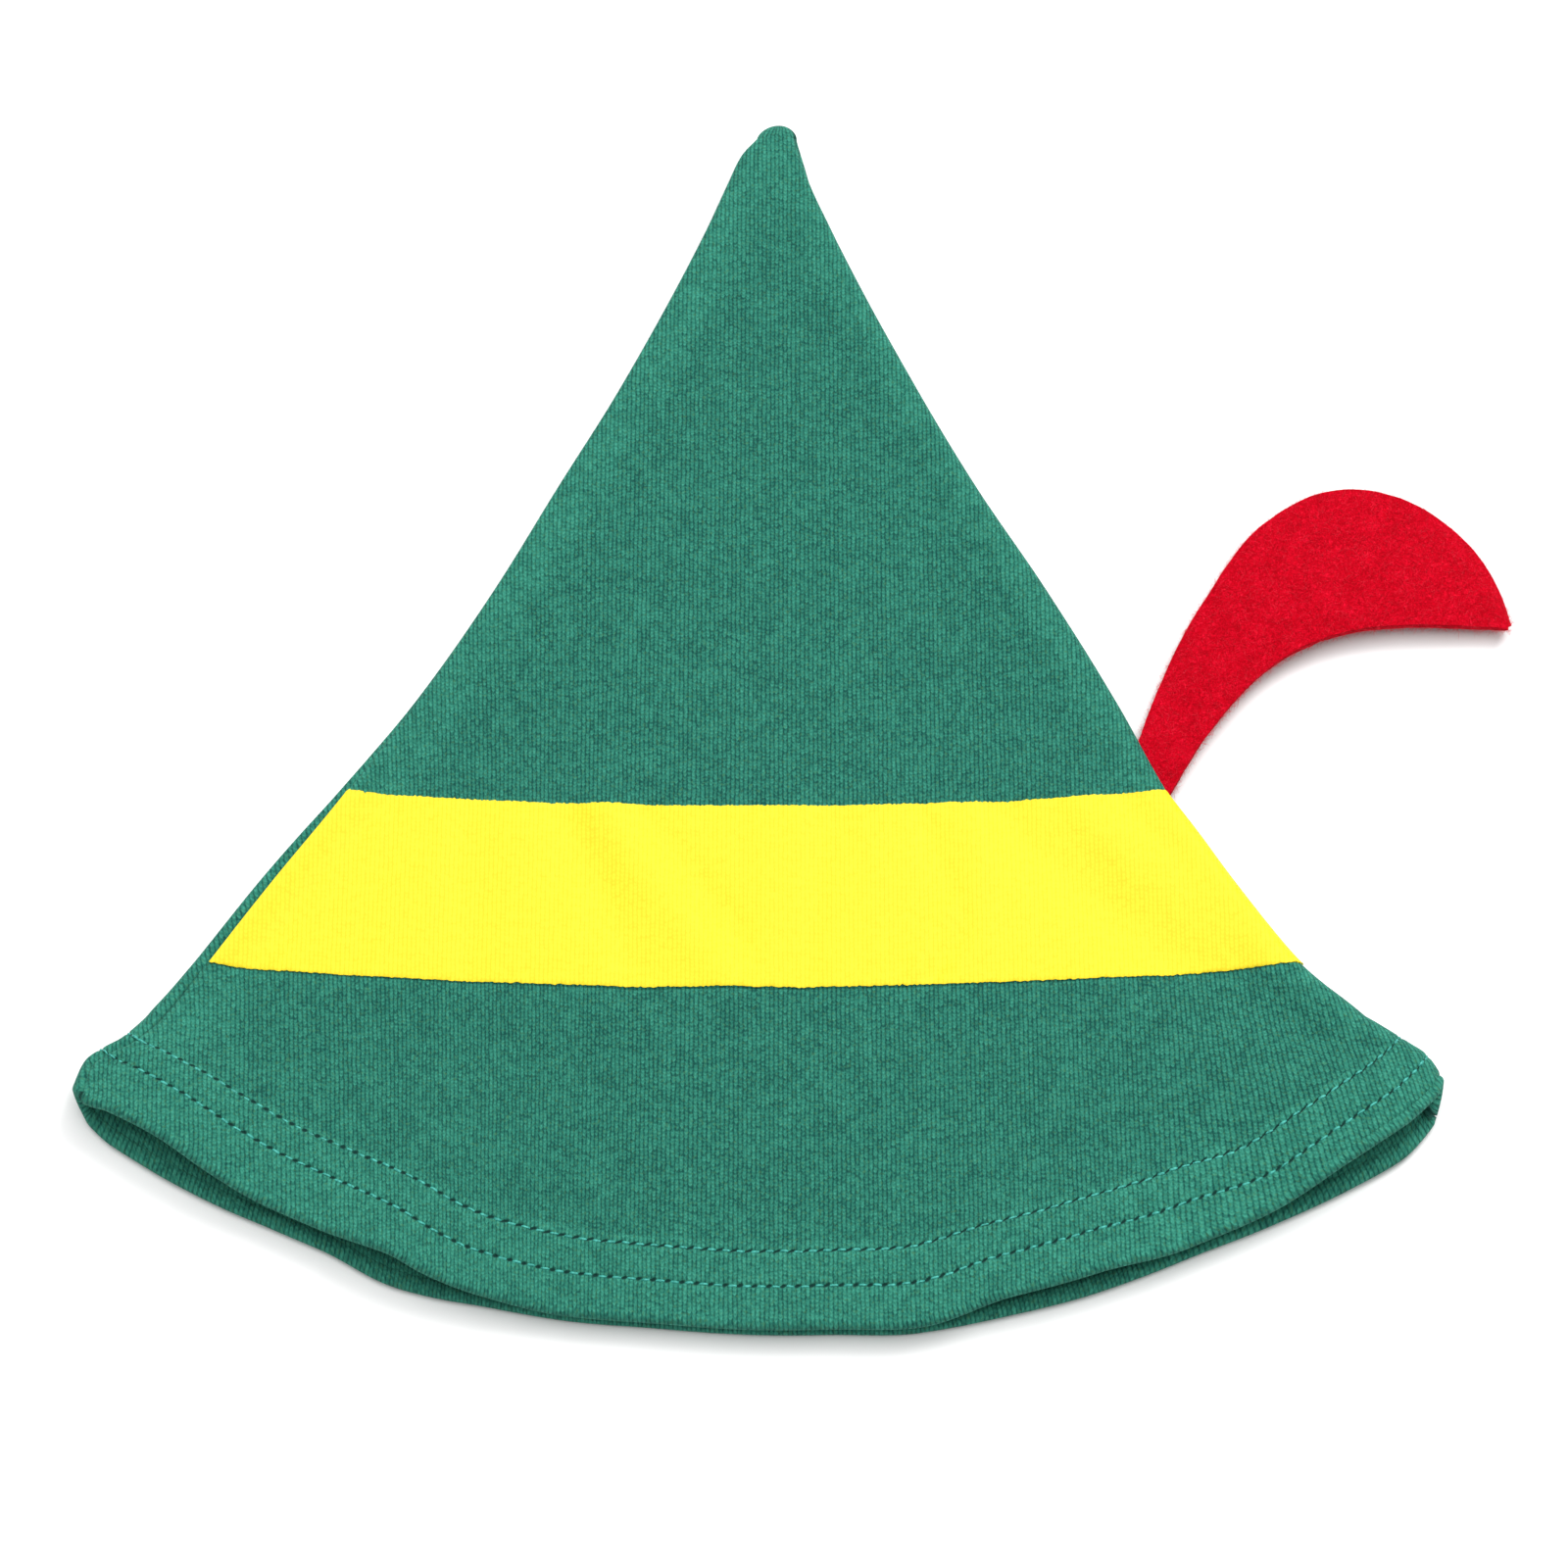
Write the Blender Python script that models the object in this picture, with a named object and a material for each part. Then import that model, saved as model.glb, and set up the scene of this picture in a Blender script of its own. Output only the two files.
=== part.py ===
"""Child's pointed elf hat in cotton knit, laid flat, with a pressed-on band and a felt feather.

The hat is two knitted panels sewn together down both sides: the front lies on top and the back lies on
the floor. Together they are one flattened tube, so both are worked out from the same sections, which run
across the hat from its left edge to its right edge, from the tip down to the hem. A panel is the stretch
of that tube between its two side seams, with a wall that goes inwards. Lengths are in millimetres until
the meshes are made. A place is given by x, from the line down through the tip, and by down, from the tip
towards the hem. The finished part is in metres, +Z up, lying on z = 0, with the hem towards -Y and its
origin at the middle of its base.
"""

import math
from collections import namedtuple

import bmesh
import bpy
import numpy as np

MM = 0.001

# Driving sizes of the hat, in millimetres
LENGTH = 242.8          # tip to the lowest point of the hem, down the middle
LEFT_REACH = 126.2      # left hem corner from the line through the tip
FEATHER_REACH = 136.0   # feather's point from the same line
CLOTH = 1.2             # cotton interlock
HEM_DEPTH = 15.0        # turned in and stitched, so the wall is double there
SEAM_GAP = 0.3          # between pieces where they are sewn together
NOSE_RADIUS = 3.4       # length of the rounded tip, seen from above
NOSE_X = -0.45          # middle of the rounded tip where it begins
NOSE_LEAN = 0.55        # the tip's foremost point lies this far to the right of that middle
NOSE_POINT = 1.4        # 1 is a round tip, and more is a more pointed one
BAND_TOP = 144.0        # down the middle of the front
BAND_DEPTH = 35.1
BAND_WALL = 1.0
BAND_END = 2.5          # the band stops this far before the right edge, along the cloth
FELT = 2.0
RIM_BLEND = 8.0         # the stiff side seams sink to the soft middle over this distance
SET_BACK_REACH = 30.0   # how far up from the hem the front is drawn back
LIFT_REACH = 75.0       # how far up from the hem the mouth's waves run
SWELL_TOP = 203.0       # the hem's bulge begins this far down
SWELL_REACH = 45.0      # and grows over this distance
FOLDS_STOP = 12.0       # the large folds fade out this far from the hem

ORIGIN_X = (FEATHER_REACH - LEFT_REACH) / 2
ORIGIN_DOWN = LENGTH / 2

# The sections across the hat. centre: down the middle; edge: down at both side edges; left, right: how
# far the edges are from the line through the tip; left_rise, right_rise: thickness of the rounded edges;
# middle: height of the front between them; left_seam: from the left edge onto the top, along the cloth;
# right_seam: from the right edge to the underside, along the cloth.
Section = namedtuple(
    "Section", "centre edge left right left_rise right_rise middle left_seam right_seam"
)
SECTIONS = (
    Section(NOSE_RADIUS, 3.4, 4.5, 3.6, 4.6, 4.6, 4.6, 0.0, -1.0),
    Section(7.2, 7.2, 7.6, 4.6, 5.0, 5.0, 4.9, 0.0, -1.0),
    Section(13.5, 13.5, 10.4, 6.5, 4.8, 4.8, 4.5, 0.2, -0.4),
    Section(24.6, 24.6, 15.0, 10.8, 4.7, 4.7, 4.1, 0.4, 0.8),
    Section(58.6, 58.6, 31.2, 26.8, 4.8, 4.8, 3.9, 0.6, 2.0),
    Section(79.2, 79.0, 42.4, 37.6, 4.9, 4.9, 3.9, 0.7, 1.8),
    Section(100.0, 99.4, 53.4, 49.8, 5.0, 5.0, 3.9, 0.8, 1.6),
    Section(125.0, 123.5, 68.1, 63.0, 5.2, 5.2, 4.0, 1.4, 0.6),
    Section(BAND_TOP, 141.2, 81.1, 71.8, 5.3, 5.2, 4.1, 3.0, 0.0),
    Section(153.0, 149.8, 88.0, 77.3, 5.4, 5.2, 4.1, 3.7, -2.0),
    Section(161.0, 157.6, 94.0, 82.3, 5.5, 5.3, 4.1, 4.0, -1.2),
    Section(BAND_TOP + BAND_DEPTH, 174.7, 106.1, 94.8, 5.7, 5.5, 4.2, 4.3, 2.0),
    Section(203.0, 182.3, 111.9, 103.1, 6.4, 6.4, 4.6, 4.8, 3.4),
    Section(LENGTH - HEM_DEPTH, 188.9, 117.8, 110.4, 7.9, 7.9, 5.5, 5.0, 4.4),
    Section(LENGTH - 11.0, 191.2, 121.5, 113.2, 8.4, 8.3, 5.6, 4.6, 4.7),
    Section(LENGTH - 7.6, 193.4, 124.0, 115.8, 8.8, 8.7, 5.6, 4.9, 5.0),
    Section(LENGTH, 199.6, LEFT_REACH, 119.2, 9.6, 9.3, 5.6, 6.6, 5.4),
)

# How the hem departs from an even curve. across: -1 at the left edge to 1 at the right edge; swell:
# bulge of the whole hem outwards; lift: wave of the front's hem off the back, which opens the mouth;
# set_back: how far the front's hem is drawn up from the back's.
HemPoint = namedtuple("HemPoint", "across swell lift set_back")
HEM = (
    HemPoint(-1.00, 1.0, 4.0, 1.0),
    HemPoint(-0.97, 2.9, 4.3, 2.4),
    HemPoint(-0.94, 3.7, 4.6, 4.2),
    HemPoint(-0.87, 3.6, 5.4, 5.0),
    HemPoint(-0.78, 3.0, 4.2, 3.5),
    HemPoint(-0.70, 2.1, 2.2, 2.3),
    HemPoint(-0.63, 1.8, 2.4, 2.2),
    HemPoint(-0.53, 3.3, 4.5, 3.8),
    HemPoint(-0.47, 2.8, 3.1, 2.2),
    HemPoint(-0.39, 1.6, 1.5, 0.6),
    HemPoint(-0.28, 0.8, 0.0, 0.0),
    HemPoint(-0.13, -0.3, 0.0, 0.0),
    HemPoint(0.00, 0.0, 0.0, 0.0),
    HemPoint(0.10, 0.4, 0.0, 0.0),
    HemPoint(0.23, 2.0, 0.0, 0.0),
    HemPoint(0.36, 2.2, 1.9, 2.0),
    HemPoint(0.48, 2.7, 2.6, 2.1),
    HemPoint(0.62, 2.8, 1.1, 0.7),
    HemPoint(0.73, 3.9, 1.6, 1.2),
    HemPoint(0.85, 5.3, 4.4, 3.4),
    HemPoint(0.93, 6.0, 4.8, 4.4),
    HemPoint(0.98, 3.6, 4.4, 3.6),
    HemPoint(1.00, 0.8, 4.2, 2.6),
)

# The largest folds of the front, each a soft ridge or, with a height below zero, a trough between two
# places given by x and down.
Fold = namedtuple("Fold", "x1 down1 x2 down2 half_width height")
FOLDS = (
    Fold(42.0, 146.0, 62.0, 167.0, 5.5, -1.0),
    Fold(71.0, 174.5, 104.0, 193.0, 6.0, -1.0),
    Fold(57.0, 147.0, 90.0, 172.0, 7.0, 0.7),
    Fold(-31.6, 146.0, -9.7, 178.0, 4.5, 0.8),
    Fold(-39.0, 147.0, -25.6, 176.0, 4.0, -0.6),
    Fold(-24.0, 147.0, -8.0, 168.0, 3.5, -0.6),
    Fold(-64.0, 191.0, -33.0, 198.0, 9.0, -0.9),
    Fold(38.0, 199.0, 50.0, 211.0, 9.0, -0.8),
    Fold(-34.0, 209.0, -8.0, 228.0, 4.5, -0.6),
    Fold(2.0, 15.0, 1.0, 52.0, 3.0, -0.5),
)

# Sections across the felt feather, from its root in the right seam to its point: the upper edge, the
# lower edge, both as x and down, and the height of the felt's middle.
FeatherSection = namedtuple("FeatherSection", "upper_x upper_down lower_x lower_down rise")
FEATHER_ROOT = (131.5, 142.0)   # the stretch of the right edge that the root is caught in
FEATHER = (
    FeatherSection(71.4, 118.4, 78.2, 131.0, 3.0),
    FeatherSection(79.4, 103.0, 89.4, 117.9, 3.5),
    FeatherSection(91.4, 86.8, 100.0, 111.3, 3.8),
    FeatherSection(102.5, 80.5, 107.6, 109.0, 3.8),
    FeatherSection(115.0, 80.7, 116.0, 108.0, 3.6),
    FeatherSection(124.6, 86.0, 123.2, 107.9, 3.3),
    FeatherSection(131.5, 93.9, 129.4, 108.0, 3.0),
    FeatherSection(134.6, 101.0, 133.6, 108.1, 2.8),
    FeatherSection(FEATHER_REACH, 107.3, FEATHER_REACH, 108.4, 2.7),
)

# How finely each piece is divided
NOSE_ROWS = 4
CROWN_ROWS = 17
BAND_ROWS = 7
BRIM_ROWS = 8
FRONT_COLUMNS = (3, 27, 8)     # left rim, middle, turn round the right edge
BACK_COLUMNS = (4, 16, 8)      # right rim, middle, turn up round the left edge
BAND_COLUMNS = (3, 27, 3)      # as the front, up to the right edge
FEATHER_ROWS = 27
FEATHER_COLUMNS = 6
CROWN_CLOSENESS = 1.15         # the crown's rows are closer together towards the tip
LEAST_SHRINK = 0.2             # the seam's gap grows no more than this near the pole
LAST_COLUMN = 0.5              # a panel's last column reaches at least this far round the edge
DIFFERENCE = 0.05              # step for slopes


def smooth_curve(at, knots, values):
    """Monotone cubic curve through a table's values, so nothing overshoots between its rows."""
    knots = np.asarray(knots, float)
    values = np.asarray(values, float)
    step = np.diff(knots)
    slope = np.diff(values) / step
    tangent = np.zeros_like(values)
    for i in range(1, len(knots) - 1):
        if slope[i - 1] * slope[i] > 0:
            w1 = 2 * step[i] + step[i - 1]
            w2 = step[i] + 2 * step[i - 1]
            tangent[i] = (w1 + w2) / (w1 / slope[i - 1] + w2 / slope[i])
    tangent[0] = slope[0]
    tangent[-1] = slope[-1]
    at = np.clip(at, knots[0], knots[-1])
    i = np.clip(np.searchsorted(knots, at) - 1, 0, len(step) - 1)
    t = (at - knots[i]) / step[i]
    return (
        values[i] * (1 + 2 * t) * (1 - t) ** 2
        + tangent[i] * step[i] * t * (1 - t) ** 2
        + values[i + 1] * t * t * (3 - 2 * t)
        + tangent[i + 1] * step[i] * t * t * (t - 1)
    )


def ease(t):
    """0 to 1 with level ends."""
    t = np.clip(t, 0.0, 1.0)
    return t * t * (3 - 2 * t)


def section_at(centre):
    """The section that crosses the hat's middle this far down."""
    knots = [row.centre for row in SECTIONS]
    columns = zip(*SECTIONS)
    return Section(*(float(smooth_curve(centre, knots, column)) for column in columns))


def hem_value(name, across):
    """One column of the hem's table at a place across."""
    return smooth_curve(across, [p.across for p in HEM], [getattr(p, name) for p in HEM])


def fold_height(x, down):
    """All the folds' heights at a place on the front."""
    total = np.zeros_like(x)
    for fold in FOLDS:
        run_x, run_down = fold.x2 - fold.x1, fold.down2 - fold.down1
        length = math.hypot(run_x, run_down)
        along = ((x - fold.x1) * run_x + (down - fold.down1) * run_down) / length
        aside = ((x - fold.x1) * run_down - (down - fold.down1) * run_x) / length
        past = np.maximum(0.0, np.abs(along - length / 2) - length / 2)
        total += fold.height * np.exp(-(aside**2 + past**2) / fold.half_width**2)
    return total


class Ring:
    """One section's closed loop, over the top from the left edge and back along the floor."""

    def __init__(self, station):
        """A station below 0 is on the rounded tip: -1 is its pole. From 0 it is mm below the tip."""
        self.angle = (station + 1) * math.pi / 2 if station < 0 else math.pi / 2
        self.shrink = math.sin(self.angle) ** NOSE_POINT
        self.row = section_at(NOSE_RADIUS + max(station, 0.0))
        row = self.row
        self.half = (row.left + row.right) / 2
        self.mid_x = (row.right - row.left) / 2
        self.from_hem = LENGTH - row.centre
        self.swell = ease((row.centre - SWELL_TOP) / SWELL_REACH)
        across = np.linspace(-1, 1, 241)
        x, down = self.plan(across)
        run = np.hypot(np.diff(x), np.diff(down))
        self.across = across
        self.run = np.concatenate(([0.0], np.cumsum(run)))
        self.width = self.run[-1]
        self.left_radius = row.left_rise / 2
        self.right_radius = row.right_rise / 2
        self.left_quarter = self.left_radius * math.pi / 2
        self.right_quarter = self.right_radius * math.pi / 2
        self.flat = self.width - self.left_radius - self.right_radius
        self.right_edge = self.left_quarter + self.flat + self.right_quarter
        self.length = 2 * (self.left_quarter + self.flat + self.right_quarter)

    def plan(self, across):
        """x and down of the section's line, seen from above."""
        row = self.row
        sag = (row.centre - row.edge) * (1 - across**2)
        return self.mid_x + self.half * across, row.edge + sag + self.swell * hem_value("swell", across)

    def top(self, m):
        """Height of the front, m along the section from the left edge."""
        row = self.row
        across = np.interp(m, self.run, self.across)
        x, down = self.plan(across)
        fade = np.clip(1 - self.from_hem / LIFT_REACH, 0, 1) ** 2
        hem_calm = ease((self.from_hem - FOLDS_STOP) / HEM_DEPTH)
        middle = row.middle + fade * hem_value("lift", across) + hem_calm * fold_height(x, down)
        blend = min(RIM_BLEND, self.flat / 2)
        left = 1 - ease((m - self.left_radius) / blend)
        right = 1 - ease((self.width - self.right_radius - m) / blend)
        return middle + (row.left_rise - middle) * left + (row.right_rise - middle) * right

    def profile(self, s):
        """Distance from the left edge and height, s along the loop from the left edge over the top."""
        s = np.mod(s, self.length)
        m = np.empty_like(s)
        z = np.empty_like(s)
        shoulder = self.left_quarter
        far_shoulder = shoulder + self.flat
        under = far_shoulder + 2 * self.right_quarter
        back_left = under + self.flat
        left_turn = (s < shoulder) | (s >= back_left)
        turn = np.where(s < shoulder, s, s - self.length) / self.left_radius
        m[left_turn] = (self.left_radius * (1 - np.cos(turn)))[left_turn]
        z[left_turn] = (self.left_radius * (1 + np.sin(turn)))[left_turn]
        over = (s >= shoulder) & (s < far_shoulder)
        m[over] = self.left_radius + s[over] - shoulder
        z[over] = self.top(m[over])
        right_turn = (s >= far_shoulder) & (s < under)
        turn = (s[right_turn] - self.right_edge) / self.right_radius
        m[right_turn] = self.width - self.right_radius * (1 - np.cos(turn))
        z[right_turn] = self.right_radius * (1 - np.sin(turn))
        floor = (s >= under) & (s < back_left)
        m[floor] = self.width - self.right_radius - (s[floor] - under)
        z[floor] = 0.0
        return m, z

    def points(self, s):
        """Places on the hat's outside, as x, down and height."""
        m, z = self.profile(np.asarray(s, float))
        across = np.interp(m, self.run, self.across)
        x, down = self.plan(across)
        upper = ease(z / self.row.middle)
        fade = np.clip(1 - self.from_hem / SET_BACK_REACH, 0, 1)
        down = down - upper * fade * hem_value("set_back", across)
        if self.angle < math.pi / 2:
            down = down - NOSE_RADIUS * math.cos(self.angle)
            x = NOSE_X + NOSE_LEAN * math.cos(self.angle) + (x - NOSE_X) * self.shrink
            z = self.left_radius + (z - self.left_radius) * self.shrink
        return np.stack((x, down, z), axis=1)

    def spread(self, landmarks, counts):
        """Places along the loop: each stretch between two landmarks is divided evenly."""
        stretches = zip(landmarks, landmarks[1:], counts)
        places = [np.linspace(a, b, n, endpoint=False) for a, b, n in stretches]
        return np.append(np.concatenate(places), landmarks[-1])

    def gap(self):
        """Half the seam's gap along the loop, which grows where the tip shrinks it."""
        return SEAM_GAP / 2 / max(self.shrink, LEAST_SHRINK)

    def front_places(self):
        """The front, from the left seam over the top and round the right edge."""
        rim = min(RIM_BLEND, self.flat / 4)
        start = self.row.left_seam + self.gap()
        end = self.right_edge + self.row.right_seam - self.gap()
        shoulder = min(self.left_quarter + self.flat, end - LAST_COLUMN)
        return self.spread((start, self.left_quarter + rim, shoulder, end), FRONT_COLUMNS)

    def back_places(self):
        """The back, from the right seam along the floor and up round the left edge."""
        rim = min(RIM_BLEND, self.flat / 4)
        start = self.right_edge + self.row.right_seam + self.gap()
        under = self.right_edge + self.right_quarter
        end = self.length + self.row.left_seam - self.gap()
        turn = self.length - self.left_quarter
        return self.spread((start, max(under, start) + rim, turn, end), BACK_COLUMNS)

    def band_places(self):
        """The band, from the left seam to the right edge, just short of the seams."""
        start = self.row.left_seam + self.gap() + SEAM_GAP
        end = self.right_edge - BAND_END
        rim = self.left_quarter + RIM_BLEND
        return self.spread((start, rim, self.left_quarter + self.flat, end), BAND_COLUMNS)


def outward(station, places_of):
    """Outside points of one ring and the unit normals there."""
    ring = Ring(station)
    places = places_of(ring)
    step = DIFFERENCE if station > 0 else DIFFERENCE / 5
    up, low = (Ring(np.clip(station + d, -0.999, LENGTH - NOSE_RADIUS)) for d in (-step, step))
    along = low.points(places_of(low)) - up.points(places_of(up))
    across = ring.points(places + DIFFERENCE) - ring.points(places - DIFFERENCE)
    normal = np.cross(across, along)
    return ring.points(places), normal / np.linalg.norm(normal, axis=1, keepdims=True)


def wall_depth(from_hem):
    """Distances of the wall's outer and inner face from the hat's outside, with a rounded hem fold."""
    double = ease((HEM_DEPTH + 0.5 - from_hem) / 1.0)
    wall = CLOTH * (1 + double)
    inset = 0.0
    if from_hem < CLOTH:
        inset = CLOTH - math.sqrt(CLOTH**2 - (CLOTH - from_hem) ** 2)
    return inset, wall - inset


def to_metres(points):
    """Places on the hat (x, down, height) in the part's own frame."""
    x, down, z = points.T
    return np.stack((x - ORIGIN_X, ORIGIN_DOWN - down, z), axis=1) * MM


def add_wall(name, outer, inner, material, pole=None):
    """A closed wall between two grids of points, rows by columns, closed to a pole where there is one."""
    mesh = bmesh.new()
    outside = [[mesh.verts.new(p) for p in to_metres(row)] for row in outer]
    inside = [[mesh.verts.new(p) for p in to_metres(row)] for row in inner]
    if pole is not None:
        tips = [mesh.verts.new(p) for p in to_metres(np.array(pole))]
        outside.insert(0, [tips[0]] * len(outside[0]))
        inside.insert(0, [tips[1]] * len(inside[0]))
    for i in range(len(outside) - 1):
        for grid, flip in ((outside, False), (inside, True)):
            for j in range(len(grid[0]) - 1):
                add_face(mesh, (grid[i][j], grid[i + 1][j], grid[i + 1][j + 1], grid[i][j + 1]), flip)
        for j, flip in ((0, False), (-1, True)):
            ring = (outside[i][j], inside[i][j], inside[i + 1][j], outside[i + 1][j])
            add_face(mesh, ring, flip)
    ends = ((-1, False),) if pole is not None else ((-1, False), (0, True))
    for i, flip in ends:
        for j in range(len(outside[0]) - 1):
            ring = (outside[i][j], inside[i][j], inside[i][j + 1], outside[i][j + 1])
            add_face(mesh, ring, flip)
    bmesh.ops.recalc_face_normals(mesh, faces=mesh.faces)
    return add_object(name, mesh, material)


def add_face(mesh, corners, flip):
    """A quad as two triangles, always cut from its first corner, so parallel grids stay parallel."""
    for three in (corners[:3], (corners[0], *corners[2:])):
        if len(set(three)) == 3:
            mesh.faces.new(reversed(three) if flip else three)


def add_object(name, mesh, material):
    """A smooth object from a finished bmesh, in the hat's collection."""
    data = bpy.data.meshes.new(name)
    mesh.to_mesh(data)
    mesh.free()
    data.shade_smooth()
    data.set_sharp_from_angle(angle=math.radians(50))
    data.materials.append(material)
    item = bpy.data.objects.new(name, data)
    bpy.data.collections["elf_hat"].objects.link(item)
    return item


def make_material(name, colour, roughness):
    """A plain finish in the piece's colour."""
    material = bpy.data.materials.new(name)
    material.use_nodes = True
    shader = material.node_tree.nodes["Principled BSDF"]
    shader.inputs["Base Color"].default_value = (*colour, 1.0)
    shader.inputs["Roughness"].default_value = roughness
    shader.inputs["Metallic"].default_value = 0.0
    return material


def panel_stations():
    """The rings of a panel, closer together at the tip, the band and the hem's fold."""
    end = LENGTH - NOSE_RADIUS
    band = BAND_TOP - NOSE_RADIUS
    hem = end - HEM_DEPTH
    nose = np.linspace(-1, 0, NOSE_ROWS, endpoint=False)[1:]
    crown = band * np.linspace(0, 1, CROWN_ROWS, endpoint=False) ** CROWN_CLOSENESS
    belt = np.linspace(band, band + BAND_DEPTH, BAND_ROWS, endpoint=False)
    brim = np.linspace(band + BAND_DEPTH, hem - 1.0, BRIM_ROWS)
    fold = end - np.array([14.0, 9.0, 4.5, CLOTH, CLOTH * 0.4, CLOTH * 0.1, 0.0])
    return np.concatenate((nose, crown, belt, brim, fold))


def build_panel(name, places_of, side, material):
    """Front or back: side is 1 for the panel on top and -1 for the one below."""
    outer, inner = [], []
    rise = SECTIONS[0].left_rise / 2
    nose = np.array((NOSE_X, NOSE_RADIUS, rise))
    inner_nose = 1 - CLOTH / np.array((NOSE_RADIUS, NOSE_RADIUS, rise))
    for station in panel_stations():
        points, normal = outward(station, places_of)
        near, far = wall_depth(LENGTH - NOSE_RADIUS - max(station, 0.0))
        outer.append(points - normal * near)
        if station < 0:
            inner.append(nose + (points - nose) * inner_nose)
        else:
            inner.append(points - normal * far)
    height = rise + side * SEAM_GAP / 2
    inner_lean = NOSE_LEAN * inner_nose[0]
    pole = ((NOSE_X + NOSE_LEAN, 0.0, height), (NOSE_X + inner_lean, CLOTH, height))
    return add_wall(name, outer, inner, material, pole)


def build_band(material):
    """The pressed-on band: the front's own points, moved out."""
    top = BAND_TOP - NOSE_RADIUS
    outer, inner = [], []
    for station in np.linspace(top, top + BAND_DEPTH, BAND_ROWS + 1):
        points, normal = outward(station, Ring.band_places)
        outer.append(points + normal * (SEAM_GAP + BAND_WALL))
        inner.append(points + normal * SEAM_GAP)
    return add_wall("band", outer, inner, material)


def right_edge_point(down):
    """The right edge's outermost place at this distance from the tip."""
    knots = [row.edge for row in SECTIONS]
    return float(smooth_curve(down, knots, [row.right for row in SECTIONS]))


def feather_rows():
    """The felt's middle surface, row by row from the root out."""
    columns = np.linspace(0, 1, FEATHER_COLUMNS + 1)
    root_down = FEATHER_ROOT[0] + (FEATHER_ROOT[1] - FEATHER_ROOT[0]) * columns
    root_x = np.array([right_edge_point(down) for down in root_down]) + SEAM_GAP * 1.4
    root_rise = np.full_like(columns, section_at(BAND_TOP).right_rise / 2)
    rows = [np.stack((root_x, root_down, root_rise), axis=1)]
    for part in FEATHER:
        x = part.upper_x + (part.lower_x - part.upper_x) * columns
        down = part.upper_down + (part.lower_down - part.upper_down) * columns
        rise = part.rise + 0.5 * (2 * columns - 1) + 0.5 * np.sin(columns * math.pi)
        rows.append(np.stack((x, down, rise), axis=1))
    return np.array(rows)


def resample(rows, count):
    """Rows on smooth curves through the given rows, evenly spaced along the middle."""
    steps = np.linalg.norm(np.diff(rows.mean(axis=1), axis=0), axis=1)
    knots = np.concatenate(([0.0], np.cumsum(steps)))
    at = np.linspace(0, knots[-1], count)
    i = np.clip(np.searchsorted(knots, at) - 1, 0, len(steps) - 1)
    t = ((at - knots[i]) / steps[i])[:, None, None]
    slope = np.gradient(rows, knots, axis=0)
    span = steps[i][:, None, None]
    return (
        rows[i] * (1 + 2 * t) * (1 - t) ** 2
        + slope[i] * span * t * (1 - t) ** 2
        + rows[i + 1] * t * t * (3 - 2 * t)
        + slope[i + 1] * span * t * t * (t - 1)
    )


def build_feather(material):
    """The felt feather, held at its root by the right seam and standing a little off the floor."""
    middle = resample(feather_rows(), FEATHER_ROWS)
    half = np.array((0.0, 0.0, FELT / 2))
    return add_wall("feather", middle + half, middle - half, material)


def clear_scene():
    """Remove whatever the file holds and make the hat's collection."""
    for item in list(bpy.data.objects):
        bpy.data.objects.remove(item, do_unlink=True)
    collection = bpy.data.collections.new("elf_hat")
    bpy.context.scene.collection.children.link(collection)


def main():
    """Build the hat's pieces."""
    clear_scene()
    green = make_material("green_knit", (0.031, 0.198, 0.136), 0.9)
    yellow = make_material("yellow_film", (1.0, 0.88, 0.03), 0.6)
    red = make_material("red_felt", (0.66, 0.0, 0.013), 0.95)
    build_panel("front", Ring.front_places, 1, green)
    build_panel("back", Ring.back_places, -1, green)
    build_band(yellow)
    build_feather(red)


main()
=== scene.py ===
"""Looks of a child's pointed elf hat that lies flat: knitted panels, pressed-on band, felt feather, sewing.

The hat is one flattened tube of knit, sewn from two panels. Both panels, the band and the hem's stitches are
worked out from the same sections across the hat as the construction model, so each piece lies where its
solid does. Lengths are in millimetres until a mesh is made. A place on the hat is x, from the line down
through the tip, down, from the tip towards the hem, and a height above the floor. Meshes are in metres in
the part's own frame, with +Z up, the tip towards +Y and the underside on z = 0.
"""

import logging
import math
from dataclasses import dataclass, field
from enum import Enum
from typing import Callable, NamedTuple, Sequence

import bpy
import numpy as np
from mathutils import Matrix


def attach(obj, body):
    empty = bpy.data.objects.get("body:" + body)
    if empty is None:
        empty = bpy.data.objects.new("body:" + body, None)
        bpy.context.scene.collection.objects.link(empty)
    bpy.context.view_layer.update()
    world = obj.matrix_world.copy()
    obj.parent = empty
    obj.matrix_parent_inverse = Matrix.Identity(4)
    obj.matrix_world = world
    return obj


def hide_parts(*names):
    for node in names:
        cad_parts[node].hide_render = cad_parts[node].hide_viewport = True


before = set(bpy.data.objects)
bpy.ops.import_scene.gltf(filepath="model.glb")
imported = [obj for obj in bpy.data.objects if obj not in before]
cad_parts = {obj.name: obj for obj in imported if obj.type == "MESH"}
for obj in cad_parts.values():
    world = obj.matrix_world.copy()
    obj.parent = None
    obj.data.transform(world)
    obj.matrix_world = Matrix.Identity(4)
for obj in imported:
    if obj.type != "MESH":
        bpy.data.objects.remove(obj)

log = logging.getLogger("elf_hat")
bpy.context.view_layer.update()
MM = 0.001
Colour = tuple[float, float, float]


class Side(Enum):
    """The two knitted panels."""

    FRONT = "front"
    BACK = "back"


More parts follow.
